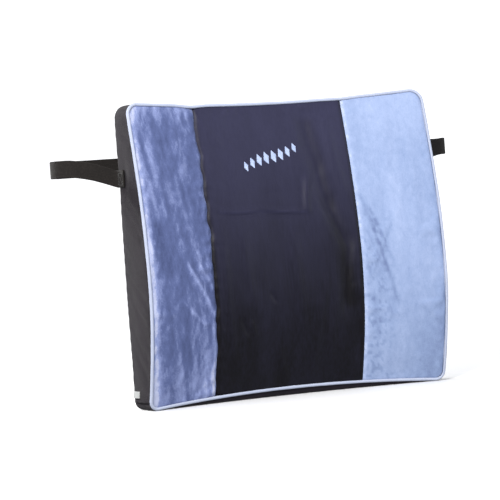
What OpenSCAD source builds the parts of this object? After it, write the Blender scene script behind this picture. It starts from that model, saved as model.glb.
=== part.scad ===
// Lumbar back rest: a foam cushion in a sewn cover, with an elastic strap and buckle that
// go round a chair's back. It stands on its base at z = 0. The front faces -Y, and the
// origin is in the middle of the base.

/* [Cushion] */
// Width between the two side bands
cushion_w = 380; // [340:5:420]
// Height from the base to the top corners
cushion_h = 350; // [320:5:380]
// Thickness at the sides, at the base
base_d = 46; // [42:1:52]
// Thickness at the sides, at the lumbar bulge
bulge_d = 70; // [62:1:80]
// Thickness at the sides, at the top
top_d = 38; // [34:1:46]
// Height of the thickest place
bulge_z = 135; // [120:5:180]
// Radius of the hollow across the front
hollow_r = 800; // [760:20:1500]
// How far the top edge dips at its middle
top_dip = 6; // [3:0.5:7]
// How far the front's lower seam rises at its middle
seam_rise = 7; // [4:0.5:9]

/* [Cover] */
// Thickness of the cover's cloth
cloth_t = 1.5; // [1:0.1:2]
// Radius of the top corners
top_r = 13; // [10:1:22]
// Radius of the bottom corners
bottom_r = 9; // [7:1:16]
// Seam between the left and centre panels, along X
seam_left_x = -101; // [-120:1:-80]
// Seam between the centre and right panels, along X
seam_right_x = 90; // [80:1:120]
// Outer radius of the piping
piping_r = 1.9; // [1.7:0.1:2.6]

/* [Zip] */
// Height of the zip
zip_z = 64; // [50:1:80]
// Length of the row of teeth
zip_l = 300; // [260:5:310]

/* [Strap] */
// Width of the elastic
strap_w = 20; // [15:1:25]
// Thickness of the elastic
strap_t = 1.8; // [1.4:0.1:2]
// Height of the strap where it leaves the cushion
strap_z = 266; // [240:2:276]
// How far the strap climbs on its way round
strap_climb = 16; // [10:1:24]
// Half width of the chair back that the strap goes round
strap_reach = 256; // [236:1:270]
// Depth from the cushion's back to the strap's run behind the chair
strap_depth = 66; // [60:1:80]

/* [Hidden] */

big = 600;
half_w = cushion_w / 2;
// The origin lies this far in front of the back, about midway through the base
back_y = 15;
sag = hollow_r - sqrt(hollow_r * hollow_r - half_w * half_w);
round_fn = 64;
wide_fn = 720;

// Cover colours
velour_grey = [0.42, 0.47, 0.64];
velour_blue = [0.66, 0.76, 0.93];
satin_navy = [0.15, 0.15, 0.21];
band_black = [0.2, 0.19, 0.22];
piping_pale = [0.82, 0.86, 0.96];
strap_black = [0.1, 0.09, 0.09];

// Thickness of the cushion at its sides, at height z
function side_depth(z) = z < bulge_z
    ? base_d + (bulge_d - base_d) * sin(90 * z / bulge_z)
    : top_d + (bulge_d - top_d) * cos(90 * (z - bulge_z) / (cushion_h - bulge_z));
// Radius of the hollow front about its upright axis, at height z
function front_r(z) = hollow_r + back_y - side_depth(z) + sag;
// The front's y at a place across and up the cushion
function front_y(x, z) = -hollow_r + sqrt(front_r(z) * front_r(z) - x * x);

// ---------- the cover's outline and its front surface ----------

// The cushion seen from the front, drawn in by inset all round
module outline(inset = 0) {
    w = cushion_w - 2 * inset;
    h = cushion_h - 2 * inset;
    tr = top_r - inset;
    br = bottom_r - inset;
    run = half_w - 0.8 * top_r;
    dip_r = (run * run + top_dip * top_dip) / (2 * top_dip);
    translate([0, inset])
        difference() {
            union() {
                translate([-w / 2, br])
                    square([w, h - br - tr]);
                translate([-w / 2 + br, 0])
                    square([w - 2 * br, h / 2]);
                translate([-w / 2 + tr, h / 2])
                    square([w - 2 * tr, h / 2]);
                for (side = [-1, 1]) {
                    translate([side * (w / 2 - br), br])
                        circle(r = br, $fn = round_fn);
                    translate([side * (w / 2 - tr), h - tr])
                        circle(r = tr, $fn = round_fn);
                }
            }
            translate([0, h + dip_r - top_dip])
                circle(r = dip_r, $fn = wide_fn * 2);
        }
}

// The space below the front's lower seam
module below_seam() {
    rise_r = (half_w * half_w + seam_rise * seam_rise) / (2 * seam_rise);
    translate([0, piping_r + seam_rise - rise_r])
        circle(r = rise_r, $fn = wide_fn * 2);
}

// A flat shape in X and Z made solid from y0 to y1
module upright(y0, y1) {
    translate([0, y1, 0])
        rotate([90, 0, 0])
            linear_extrude(y1 - y0)
                children();
}

// Everything in front of the cushion's face, moved back by shift
module front_space(shift = 0) {
    inner_r = hollow_r - 160;
    steps = 24;
    low_z = -12;
    high_z = cushion_h + 12;
    face = [for (i = [0:steps])
        let (z = i * cushion_h / steps)
            [front_r(z) + shift, z]];
    profile = concat([[inner_r, low_z], [front_r(0) + shift, low_z]], face,
                     [[front_r(cushion_h) + shift, high_z], [inner_r, high_z]]);
    span = 40;
    translate([0, -hollow_r, 0])
        rotate([0, 0, 90 - span / 2])
            rotate_extrude(angle = span, $fn = wide_fn)
                polygon(profile);
}

// A layer that follows the front face between two depths, cut to a flat shape in X and Z
module face_shell(from, to) {
    intersection() {
        upright(-big / 4, back_y)
            children();
        difference() {
            front_space(to);
            front_space(from);
        }
    }
}

// A front panel between two x values
module front_panel(x0, x1) {
    face_shell(0, cloth_t)
        intersection() {
            difference() {
                outline();
                below_seam();
            }
            translate([x0, 0])
                square([x1 - x0, cushion_h + 1]);
        }
}

// ---------- cushion ----------

module foam_core() {
    groove_h = 20;
    groove_d = 6;
    gap = 0.1;
    color("wheat")
        difference() {
            upright(-big / 4, back_y - cloth_t - gap)
                outline(cloth_t + gap);
            front_space(cloth_t + gap);
            translate([-half_w, back_y - cloth_t - groove_d, zip_z - groove_h / 2])
                cube([cushion_w, groove_d + 1, groove_h]);
        }
}

module front_panel_left() {
    color(velour_grey)
        front_panel(-half_w, seam_left_x);
}

module front_panel_centre() {
    color(satin_navy)
        front_panel(seam_left_x, seam_right_x);
}

module front_panel_right() {
    color(velour_blue)
        front_panel(seam_right_x, half_w);
}

// The strip of cloth round the cushion's edge
module band_ring() {
    difference() {
        outline();
        outline(cloth_t);
    }
}

module boxing_band() {
    color(band_black)
        difference() {
            upright(-big / 4, back_y)
                intersection() {
                    band_ring();
                    translate([-half_w, bottom_r])
                        square([cushion_w, cushion_h]);
                }
            front_space(cloth_t);
        }
}

module base_band() {
    color(band_black) {
        difference() {
            upright(-big / 4, back_y)
                intersection() {
                    band_ring();
                    translate([-half_w, 0])
                        square([cushion_w, bottom_r]);
                }
            front_space(cloth_t);
        }
        face_shell(0, cloth_t)
            intersection() {
                outline();
                below_seam();
            }
    }
}

// A part of the cover's back between two heights
module back_panel(z0, z1) {
    color(band_black)
        upright(back_y - cloth_t, back_y)
            intersection() {
                outline(cloth_t);
                translate([-half_w, z0])
                    square([cushion_w, z1 - z0]);
            }
}

module back_panel_upper() {
    back_panel(zip_z + tape_h, cushion_h);
}

module back_panel_lower() {
    back_panel(0, zip_z - tape_h);
}

// ---------- piping ----------

// The middle of the piping is this far inside the band, so that it stands a little proud
piping_inset = 0.6;

// The piping's path seen from the front: corner arcs, with the sides cut into steps
side_steps = 16;
edge_steps = 18;
corner_steps = 4;

function arc_points(cx, cz, r, a0, a1, n) =
    [for (i = [0:n]) let (a = a0 + (a1 - a0) * i / n) [cx + r * cos(a), cz + r * sin(a)]];
function line_points(p, q, n, bow = 0) =
    [for (i = [1:n - 1]) let (t = i / n)
        [p[0] + (q[0] - p[0]) * t, p[1] + (q[1] - p[1]) * t + bow * 4 * t * (1 - t)]];

path_w = half_w - piping_inset;
path_top = cushion_h - piping_inset;
path_base = piping_r + 0.3;
path_flat = concat(
    arc_points(path_w - bottom_r, path_base + bottom_r, bottom_r, -90, 0, corner_steps),
    line_points([path_w, path_base + bottom_r], [path_w, path_top - top_r], side_steps),
    arc_points(path_w - top_r, path_top - top_r, top_r, 0, 90, corner_steps),
    line_points([path_w - top_r, path_top], [top_r - path_w, path_top], edge_steps, -top_dip),
    arc_points(top_r - path_w, path_top - top_r, top_r, 90, 180, corner_steps),
    line_points([-path_w, path_top - top_r], [-path_w, path_base + bottom_r], side_steps),
    arc_points(bottom_r - path_w, path_base + bottom_r, bottom_r, 180, 270, corner_steps),
    line_points([bottom_r - path_w, path_base], [path_w - bottom_r, path_base],
                edge_steps, seam_rise));
piping_path = [for (p = path_flat) [p[0], front_y(p[0], p[1]), p[1]]];

function unit(v) = v / norm(v);

// Rings of a closed section, swept round the closed path: x points to the middle of the
// cushion and y points to its back
function ring(path, section, i) =
    let (n = len(path),
         along = unit(path[(i + 1) % n] - path[(i + n - 1) % n]),
         inward = unit(cross(along, [0, 1, 0])),
         back = cross(inward, along))
    [for (p = section) path[i] + inward * p[0] + back * p[1]];

module closed_sweep(path, section) {
    n = len(path);
    m = len(section);
    polyhedron(
        points = [for (i = [0:n - 1]) each ring(path, section, i)],
        faces = [for (i = [0:n - 1], j = [0:m - 1])
            let (a = i * m + j,
                 b = i * m + (j + 1) % m,
                 c = ((i + 1) % n) * m + (j + 1) % m,
                 d = ((i + 1) % n) * m + j)
                each [[a, b, c], [a, c, d]]],
        convexity = 4);
}

function arc_section(r, a0, a1, n) =
    [for (i = [0:n]) let (a = a0 + (a1 - a0) * i / n) [r * cos(a), r * sin(a)]];

// The sleeve is open towards the foam, where its two edges are sewn into the seam
module front_piping() {
    slit = 28;
    sides = 7;
    inner_r = piping_r - 0.7;
    color(piping_pale)
        closed_sweep(piping_path, concat(
            arc_section(piping_r, slit, 360 - slit, sides),
            arc_section(inner_r, 360 - slit, slit, sides)));
}

module piping_cord() {
    sides = 7;
    color("white")
        closed_sweep(piping_path,
                     arc_section(piping_r - 1, 0, 360 * (1 - 1 / sides), sides - 1));
}

// ---------- sewn-on details ----------

// Raised stitched motif: lozenges in a row that sways like a spine
module emblem() {
    count = 8;
    pitch = 9.6;
    sway = 1.6;
    tilt = 16;
    centre = [-12, 280];
    raise = 0.7;
    color(piping_pale)
        face_shell(-raise, 0)
            translate(centre)
                rotate(tilt)
                    for (i = [0:count - 1])
                        let (grow = 0.75 + 0.25 * sin(180 * i / (count - 1)))
                            translate([(i - (count - 1) / 2) * pitch,
                                       sway * sin(360 * i / (count - 1))])
                                polygon([[0, -7.4] * grow, [4, 0] * grow,
                                         [0, 7.4] * grow, [-4, 0] * grow]);
}

// Blank tag sewn to the left band, low at the back
module care_label() {
    size = [0.8, 18, 9];
    color("gainsboro")
        translate([-half_w - size[0], back_y - size[1] - 4, bottom_r + 4])
            cube(size);
}

// ---------- zip ----------

tape_h = 14;
tape_t = 0.7;
coil_r = 1.1;
coil_gap = 1.7;
coil_y = back_y + 0.35;

// One woven tape, on the side of the zip that side names: 1 above, -1 below
module zip_tape(side) {
    inner = coil_gap / 2 + coil_r;
    color(band_black)
        translate([-half_w + cloth_t, back_y - cloth_t, zip_z + (side > 0 ? inner : -tape_h)])
            cube([cushion_w - 2 * cloth_t, tape_t, tape_h - inner]);
}

module zip_tape_upper() {
    zip_tape(1);
}

module zip_tape_lower() {
    zip_tape(-1);
}

module zip_coil(side) {
    color("dimgray")
        translate([-zip_l / 2, coil_y, zip_z + side * (coil_gap / 2 + coil_r)])
            rotate([0, 90, 0])
                cylinder(r = coil_r, h = zip_l, $fn = 24);
}

module zip_coil_upper() {
    zip_coil(1);
}

module zip_coil_lower() {
    zip_coil(-1);
}

module zip_end_stops() {
    size = [3, 4.4, 7.6];
    color("silver")
        for (side = [-1, 1])
            translate([side * (zip_l / 2 + size[0] / 2) - size[0] / 2,
                       coil_y - size[1] / 2, zip_z - size[2] / 2])
                cube(size);
}

// The slider rests at the closed end, near +X
slider_l = 11;
slider_x = zip_l / 2 - slider_l - 1.5;
slider_w = 9;
plate_t = 1.1;
pull_rod_r = 0.8;
pull_y = coil_y + coil_r + 0.4 + plate_t + 2.2;
pull_x = slider_x + slider_l / 2;

module zip_slider() {
    clear = 0.4;
    outer_y = coil_y + coil_r + clear;
    inner_y = back_y - cloth_t - clear - plate_t;
    post_t = 0.9;
    lug_t = 1.6;
    lug_gap = 5;
    color("silver") {
        translate([slider_x, outer_y, zip_z - slider_w / 2])
            cube([slider_l, plate_t, slider_w]);
        translate([slider_x, inner_y, zip_z - slider_w / 2])
            cube([slider_l, plate_t, slider_w]);
        translate([slider_x, inner_y + plate_t / 2, zip_z - post_t / 2])
            cube([slider_l * 0.45, outer_y - inner_y, post_t]);
        for (side = [-1, 1]) {
            translate([slider_x, outer_y - 1.2, zip_z + side * (slider_w / 2 - 0.4) - 0.4])
                cube([slider_l, 1.3, 0.8]);
            translate([pull_x + side * (lug_gap + lug_t) / 2 - lug_t / 2,
                       outer_y + plate_t / 2, zip_z - 1.5])
                cube([lug_t, pull_y - outer_y - plate_t / 2 + pull_rod_r, 3]);
        }
        translate([pull_x - lug_gap / 2 - lug_t / 2, pull_y, zip_z])
            rotate([0, 90, 0])
                cylinder(r = pull_rod_r, h = lug_gap + lug_t, $fn = 24);
    }
}

// The pull hangs from the rod between the slider's lugs
module zip_pull() {
    eye_w = 3.6;
    eye_r = 1.9;
    tab_w = 8;
    tab_t = 1.6;
    tab_l = 24;
    neck_l = 5;
    color("silver")
        translate([pull_x, pull_y, zip_z])
            difference() {
                union() {
                    translate([-eye_w / 2, 0, 0])
                        rotate([0, 90, 0])
                            cylinder(r = eye_r, h = eye_w, $fn = 32);
                    translate([-eye_w / 2, -tab_t / 2, -neck_l - 1])
                        cube([eye_w, tab_t, neck_l + 1]);
                    upright(-tab_t / 2, tab_t / 2)
                        difference() {
                            union() {
                                translate([-tab_w / 2, -neck_l - tab_l + tab_w / 2])
                                    square([tab_w, tab_l - tab_w]);
                                translate([0, -neck_l - tab_l + tab_w / 2])
                                    circle(d = tab_w, $fn = 32);
                                translate([0, -neck_l - tab_w / 2])
                                    circle(d = tab_w, $fn = 32);
                            }
                            translate([0, -neck_l - tab_l + tab_w / 2])
                                circle(d = 3.4, $fn = 32);
                        }
                }
                translate([-eye_w, 0, 0])
                    rotate([0, 90, 0])
                        cylinder(r = pull_rod_r + 0.08, h = 2 * eye_w, $fn = 24);
            }
}

// ---------- strap ----------

bar_r = 1.6;
strap_high = strap_z + strap_climb;
outer_run_y = back_y + strap_depth;
bar_y = outer_run_y - strap_t / 2 - 0.1 - bar_r;
inner_run_y = 2 * bar_y - outer_run_y;
strap_lean = 15;
female_bar_x = -26.6;
male_bar_x = 14.4;
fold_end_x = -58;
tail_end_x = 122;
band_half = strap_w / 2;
// Each straight run laps over the next piece of strap by this much
run_lap = 0.15;

// A quarter to a half ring of strap in plan: centre, middle radius, from angle a0 to a1
module strap_bend(c, r, a0, a1) {
    translate(c)
        intersection() {
            difference() {
                circle(r = r + strap_t / 2, $fn = 96);
                circle(r = r - strap_t / 2, $fn = 96);
            }
            polygon([for (t = [0:6]) let (a = a0 + (a1 - a0) * max(t - 1, 0) / 5)
                t == 0 ? [0, 0] : [cos(a), sin(a)] * r * 1.6]);
        }
}

// A straight run of strap in plan
module strap_run(p, q) {
    v = q - p;
    translate(p)
        rotate(atan2(v[1], v[0]))
            translate([-run_lap, -strap_t / 2])
                square([norm(v) + 2 * run_lap, strap_t]);
}

// The strap in plan on the +X side, from the side band round to its run behind the chair
tab_l = 19;
tab_bend_r = 3;
tab_x = half_w + strap_t / 2 + 0.1;
lean_start = [tab_x + tab_bend_r * (1 - sin(strap_lean)),
              back_y - 1 + tab_bend_r * cos(strap_lean)];
// Radius and centre of the big bend, so that it reaches strap_reach and ends on the run
function bend_r(run_y) = (run_y - lean_start[1] - (strap_reach - lean_start[0]) * tan(strap_lean))
    / (1 + cos(strap_lean) + (sin(strap_lean) - 1) * tan(strap_lean));
function bend_x(run_y) = strap_reach - bend_r(run_y);

module strap_side(run_y) {
    r = bend_r(run_y);
    c = [bend_x(run_y), run_y - r];
    strap_run([tab_x, back_y - 1 - tab_l], [tab_x, back_y - 1]);
    strap_bend([tab_x + tab_bend_r, back_y - 1], tab_bend_r, 180, 90 + strap_lean);
    strap_run(lean_start, c + r * [sin(strap_lean), -cos(strap_lean)]);
    strap_bend(c, r, -90 + strap_lean, 90);
}

// Height of the strap's middle at x on its way round: level again just before its reach
climb_run = strap_reach - half_w - 4;
function climb_z(x) = strap_z + strap_climb * sin(90 * min(1, max(0, (x - half_w) / climb_run)));

// The band that the strap keeps to on its way round, seen from the front
module climb_band() {
    steps = 10;
    x0 = half_w - 4;
    xs = [for (i = [0:steps]) half_w + climb_run * i / steps];
    polygon(concat([[x0, strap_z - band_half]],
                   [for (x = xs) [x, climb_z(x) - band_half]],
                   [[strap_reach + 9, strap_high - band_half],
                    [strap_reach + 9, strap_high + band_half]],
                   [for (i = [0:steps]) [xs[steps - i], climb_z(xs[steps - i]) + band_half]],
                   [[x0, strap_z + band_half]]));
}

// The part of the strap that goes round the side, then its run behind the chair
module strap_round(run_y) {
    split_y = run_y - bend_r(run_y);
    intersection() {
        linear_extrude(cushion_h)
            intersection() {
                strap_side(run_y);
                translate([0, -big / 2])
                    square([big, big / 2 + split_y + run_lap]);
            }
        upright(-big / 4, big / 2)
            climb_band();
    }
    translate([0, 0, strap_high - band_half])
        linear_extrude(strap_w)
            intersection() {
                strap_side(run_y);
                translate([0, split_y])
                    square([big, big]);
            }
}

module strap_left() {
    meet_x = female_bar_x - 12;
    color(strap_black) {
        mirror([1, 0, 0])
            strap_round(outer_run_y);
        translate([0, 0, strap_high - band_half])
            linear_extrude(strap_w) {
                strap_run([-bend_x(outer_run_y), outer_run_y], [female_bar_x, outer_run_y]);
                strap_bend([female_bar_x, bar_y], outer_run_y - bar_y, -90, 90);
                strap_run([female_bar_x, inner_run_y], [meet_x, outer_run_y - strap_t - 0.1]);
                strap_run([meet_x, outer_run_y - strap_t - 0.1],
                          [fold_end_x, outer_run_y - strap_t - 0.1]);
            }
    }
}

module strap_right() {
    meet_x = male_bar_x + 14;
    color(strap_black) {
        strap_round(inner_run_y);
        translate([0, 0, strap_high - band_half])
            linear_extrude(strap_w) {
                strap_run([male_bar_x, inner_run_y], [bend_x(inner_run_y), inner_run_y]);
                strap_bend([male_bar_x, bar_y], outer_run_y - bar_y, 90, 270);
                strap_run([male_bar_x, outer_run_y], [meet_x, inner_run_y + strap_t + 0.1]);
                strap_run([meet_x, inner_run_y + strap_t + 0.1],
                          [tail_end_x, inner_run_y + strap_t + 0.1]);
            }
    }
}

// A square of thread with a cross in it, in X and Z
module box_stitch(size) {
    thread = 0.8;
    inner = size - [2 * thread, 2 * thread];
    difference() {
        square(size, center = true);
        square(inner, center = true);
    }
    for (turn = [-1, 1])
        intersection() {
            square(size, center = true);
            rotate(turn * atan2(size[1], size[0]))
                square([norm(size), thread], center = true);
        }
}

stitch_t = 0.4;

module anchor_stitch(side) {
    color("dimgray")
        translate([side * (tab_x + strap_t / 2 + stitch_t / 2), back_y - 1 - tab_l / 2, strap_z])
            rotate([90, 0, 90])
                linear_extrude(stitch_t, center = true)
                    box_stitch([13, 14]);
}

module anchor_stitch_left() {
    anchor_stitch(-1);
}

module anchor_stitch_right() {
    anchor_stitch(1);
}

module fold_stitch() {
    color("dimgray")
        upright(outer_run_y + strap_t / 2, outer_run_y + strap_t / 2 + stitch_t)
            translate([(fold_end_x + female_bar_x - 12) / 2, strap_high])
                box_stitch([15, 14]);
}

// ---------- buckle ----------

buckle_half_h = 13;
wall_t = 1.8;
body_half_d = 4.4;
cavity_half_d = 2.8;
prong_z = 7.4;
prong_half_t = 1.2;
prong_half_d = 2.3;
prong_l = 14.5;
pivot_x = 1.9;
pivot_r = 1.5;

// A rectangle with round corners, from its low corner
module rounded(low, size, r) {
    translate(low + [r, 0])
        square([size[0] - 2 * r, size[1]]);
    translate(low + [0, r])
        square([size[0], size[1] - 2 * r]);
    for (x = [r, size[0] - r], z = [r, size[1] - r])
        translate(low + [x, z])
            circle(r = r, $fn = 32);
}

// A strap bar on two rails that stand out of a buckle half
module strap_bar(x, root_x) {
    rail_half_d = 2.1;
    rail_t = 2.2;
    translate([x, bar_y, strap_high - buckle_half_h + 0.5])
        cylinder(r = bar_r, h = 2 * buckle_half_h - 1, $fn = 32);
    for (side = [-1, 1])
        upright(bar_y - rail_half_d, bar_y + rail_half_d)
            translate([0, strap_high])
                rounded([min(x - bar_r, root_x),
                         side * (buckle_half_h - rail_t / 2) - rail_t / 2],
                        [abs(root_x - x) + bar_r, rail_t], 0.8);
}

module buckle_female() {
    length = 21;
    window = [-15, -6.2];
    color("black") {
        difference() {
            upright(bar_y - body_half_d, bar_y + body_half_d)
                translate([0, strap_high])
                    rounded([-length, -buckle_half_h], [length, 2 * buckle_half_h], 3);
            translate([-length + 2.5, bar_y - cavity_half_d,
                       strap_high - buckle_half_h + wall_t])
                cube([length, 2 * cavity_half_d, 2 * (buckle_half_h - wall_t)]);
            translate([window[0], bar_y - cavity_half_d, strap_high - big / 2])
                cube([window[1] - window[0], 2 * cavity_half_d, big]);
        }
        strap_bar(female_bar_x, -length + 1);
    }
}

module buckle_male() {
    base_x = 0.5;
    base_l = 9;
    socket_r = pivot_r + 0.35;
    tongue = [-14.5, 2.3];
    color("black")
        difference() {
            union() {
                upright(bar_y - body_half_d + 0.5, bar_y + body_half_d - 0.5)
                    translate([0, strap_high])
                        rounded([base_x, -buckle_half_h + 0.5],
                                [base_l, 2 * buckle_half_h - 1], 2);
                upright(bar_y - prong_half_d, bar_y + prong_half_d)
                    translate([0, strap_high])
                        rounded([tongue[0], -tongue[1]],
                                [base_x + 2 - tongue[0], 2 * tongue[1]], 1);
                strap_bar(male_bar_x, base_x + base_l - 1);
            }
            for (side = [-1, 1])
                translate([0, bar_y + big / 4, strap_high + side * prong_z])
                    rotate([90, 0, 0])
                        linear_extrude(big / 2) {
                            translate([pivot_x, 0])
                                circle(r = socket_r, $fn = 32);
                            translate([base_x - 2, -socket_r])
                                square([pivot_x - base_x + 2, 2 * socket_r]);
                        }
        }
}

// A sprung latch arm: a round root, a straight arm and a hooked end in the window
module latch_prong(side) {
    hook_x = -7;
    hook_out = 5.2;
    color("black")
        upright(bar_y - prong_half_d, bar_y + prong_half_d)
            translate([0, strap_high])
                mirror([0, side < 0 ? 1 : 0])
                    translate([0, prong_z]) {
                        translate([pivot_x, 0])
                            circle(r = pivot_r, $fn = 32);
                        polygon([[-prong_l, -prong_half_t], [pivot_x, -prong_half_t],
                                 [pivot_x, prong_half_t], [hook_x, prong_half_t],
                                 [hook_x, hook_out], [-prong_l + 3, hook_out],
                                 [-prong_l, prong_half_t + 1]]);
                    }
}

module latch_prong_upper() {
    latch_prong(1);
}

module latch_prong_lower() {
    latch_prong(-1);
}

// A loop that slides along the doubled strap and holds its tail
module strap_keeper() {
    clear = 0.4;
    shell = 1.8;
    length = 9;
    x = 60;
    y0 = inner_run_y - strap_t / 2 - clear;
    y1 = inner_run_y + 1.5 * strap_t + 0.1 + clear;
    half_h = band_half + clear;
    color("black")
        translate([x, 0, strap_high])
            rotate([90, 0, 90])
                linear_extrude(length)
                    difference() {
                        rounded([y0 - shell, -half_h - shell],
                                [y1 - y0 + 2 * shell, 2 * (half_h + shell)], 1.6);
                        translate([y0, -half_h])
                            square([y1 - y0, 2 * half_h]);
                    }
}

foam_core();
front_panel_left();
front_panel_centre();
front_panel_right();
boxing_band();
base_band();
back_panel_upper();
back_panel_lower();
front_piping();
piping_cord();
emblem();
care_label();
zip_tape_upper();
zip_tape_lower();
zip_coil_upper();
zip_coil_lower();
zip_end_stops();
zip_slider();
zip_pull();
strap_left();
strap_right();
anchor_stitch_left();
anchor_stitch_right();
fold_stitch();
buckle_female();
buckle_male();
latch_prong_upper();
latch_prong_lower();
strap_keeper();
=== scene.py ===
"""Looks of a strap-on lumbar cushion: its cover, piping, zip, strap and buckle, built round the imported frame.

Lengths are in millimetres until a mesh is made. The front faces -Y, and +Z is up.
"""
import math

import bmesh
import bpy
import numpy as np
from mathutils import Matrix, Vector


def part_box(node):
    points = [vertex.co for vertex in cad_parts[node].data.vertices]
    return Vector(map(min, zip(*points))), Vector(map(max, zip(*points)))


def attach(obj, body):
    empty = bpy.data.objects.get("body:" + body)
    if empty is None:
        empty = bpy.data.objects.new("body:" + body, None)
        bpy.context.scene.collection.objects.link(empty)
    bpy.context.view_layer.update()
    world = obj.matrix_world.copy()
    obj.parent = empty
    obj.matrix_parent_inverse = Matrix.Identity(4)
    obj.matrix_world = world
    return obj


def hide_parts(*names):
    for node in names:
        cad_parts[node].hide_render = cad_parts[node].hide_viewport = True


MM = 0.001
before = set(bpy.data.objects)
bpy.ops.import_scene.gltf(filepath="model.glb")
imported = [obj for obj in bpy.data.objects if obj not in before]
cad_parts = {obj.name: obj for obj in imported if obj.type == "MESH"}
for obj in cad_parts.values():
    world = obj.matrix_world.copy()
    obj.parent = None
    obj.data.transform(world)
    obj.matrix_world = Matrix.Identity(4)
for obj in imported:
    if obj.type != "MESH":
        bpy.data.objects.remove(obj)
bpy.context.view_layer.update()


def cad_box(node):
    """A CAD node's lowest and highest corners, in millimetres."""
    low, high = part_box(node)
    return np.array(low) / MM, np.array(high) / MM


# ---------- driving dimensions ----------

# From the frame
HALF_W = cad_box("front_panel_right")[1][0]
CUSHION_H = cad_box("boxing_band")[1][2]
BACK_Y = cad_box("back_panel_upper")[1][1]
SEAM_LEFT_X = cad_box("front_panel_centre")[0][0]
SEAM_RIGHT_X = cad_box("front_panel_centre")[1][0]
ZIP_LOW, ZIP_HIGH = cad_box("zip_coil_lower")[0], cad_box("zip_coil_upper")[1]
ZIP_Z = (ZIP_LOW[2] + ZIP_HIGH[2]) / 2
COIL_Y = (ZIP_LOW[1] + ZIP_HIGH[1]) / 2
STRAP_REACH = cad_box("strap_right")[1][0] - 0.9
OUTER_RUN_Y = cad_box("strap_left")[1][1] - 0.9
STRAP_HIGH = (cad_box("strap_keeper")[0][2] + cad_box("strap_keeper")[1][2]) / 2

# The cover's shape, the same values as the CAD's
BASE_D, BULGE_D, TOP_D = 46, 70, 38
BULGE_Z = 135
HOLLOW_R = 800
TOP_DIP = 6
SEAM_RISE = 7
TOP_R, BOTTOM_R = 13, 9
PIPING_R = 1.9
PIPING_INSET = 0.6
CLOTH_T = 1.2

# The strap, the same values as the CAD's
STRAP_W, STRAP_T = 20, 1.8
STRAP_Z = 266
STRAP_CLIMB = STRAP_HIGH - STRAP_Z
STRAP_LEAN = math.radians(15)
TAB_L = 19
TAB_BEND_R = 3
FEMALE_BAR_X, MALE_BAR_X = -26.6, 14.4
BAR_BEND_R = 2.6
FOLD_END_X, TAIL_END_X = -58, 122

SAG = HOLLOW_R - math.sqrt(HOLLOW_R ** 2 - HALF_W ** 2)
PATH_W = HALF_W - PIPING_INSET
PATH_BASE = PIPING_R + 0.3
# The front panels are sewn in this far from the piping's middle line
SEWN_IN = 1.2
FRONT_INSET, FRONT_FLOOR = PIPING_INSET + SEWN_IN, PATH_BASE + SEWN_IN


# ---------- numbers: noise, curves and grids ----------

def noise3(points, size, seed=0):
    """Smooth noise from -1 to 1 at each point, with one wave in about `size` millimetres."""
    q = np.asarray(points, float) / size + 31.7 * (seed + 1)
    cell = np.floor(q).astype(np.int64)
    part = q - cell
    part = part ** 3 * (part * (part * 6 - 15) + 10)
    total = np.zeros(q.shape[:-1])
    for corner in range(8):
        step = np.array([corner & 1, corner >> 1 & 1, corner >> 2 & 1])
        at = cell + step
        key = at[..., 0] * 73856093 ^ at[..., 1] * 19349663 ^ at[..., 2] * 83492791 ^ (seed + 7) * 2654435
        key = (key ^ key >> 13) * 1274126177 & 0x7FFFFFFF
        key = (key ^ key >> 15) * 1103515245 & 0x7FFFFFFF
        total += (key / 0x3FFFFFFF - 1) * np.prod(np.where(step, part, 1 - part), axis=-1)
    return total


def flat_noise(x, z, size, seed=0):
    """Noise over a flat place across and up; size is one number or (across, up)."""
    across, up = size if isinstance(size, tuple) else (size, size)
    return noise3(np.stack([x / across, z / up, np.zeros_like(x)], -1), 1.0, seed)


def bump(distance, width):
    """1 at no distance, falling smoothly to 0 over about twice the width."""
    return np.exp(-(distance / width) ** 2)


def ramp(value, low, high):
    """0 below low, 1 above high, and smooth between."""
    t = np.clip((value - low) / (high - low), 0, 1)
    return t * t * (3 - 2 * t)


def arc(cx, cy, r, a0, a1, n):
    """Points along an arc, with its ends, from angle a0 to a1 in degrees."""
    a = np.radians(np.linspace(a0, a1, n + 1))
    return np.stack([cx + r * np.cos(a), cy + r * np.sin(a)], -1)


def line(p, q, n):
    """Points along a straight line, with its ends."""
    return np.linspace(np.asarray(p, float), np.asarray(q, float), n + 1)


def chain(*pieces):
    """Several runs of points as one, where each starts on the last one's end."""
    return np.concatenate([pieces[0]] + [p[1:] for p in pieces[1:]])


def unit(vectors):
    """Vectors at a length of 1."""
    return vectors / np.linalg.norm(vectors, axis=-1, keepdims=True)


def run_length(points):
    """How far along a line each of its points is."""
    return np.r_[0, np.cumsum(np.linalg.norm(np.diff(points, axis=0), axis=1))]


def resample(points, step=None, count=None):
    """A line's points at even spacing."""
    length = run_length(points)
    n = count or max(2, int(round(length[-1] / step)) + 1)
    at = np.linspace(0, length[-1], n)
    return np.stack([np.interp(at, length, points[:, k]) for k in range(points.shape[1])], -1)


def catmull(a, b, c, d, t):
    """The place at t, from 0 to 1, between b and c on the Catmull-Rom curve through all four."""
    return 0.5 * (2 * b + (c - a) * t + (2 * a - 5 * b + 4 * c - d) * t ** 2
                  + (3 * b - a - 3 * c + d) * t ** 3)


def smooth_line(points, parts=6):
    """A smooth curve through points of shape (n, ...)."""
    p = np.concatenate([2 * points[:1] - points[1:2], points, 2 * points[-1:] - points[-2:-1]])
    out = [catmull(*p[i:i + 4], t) for i in range(len(points) - 1) for t in np.arange(parts) / parts]
    return np.array(out + [points[-1]])


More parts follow.
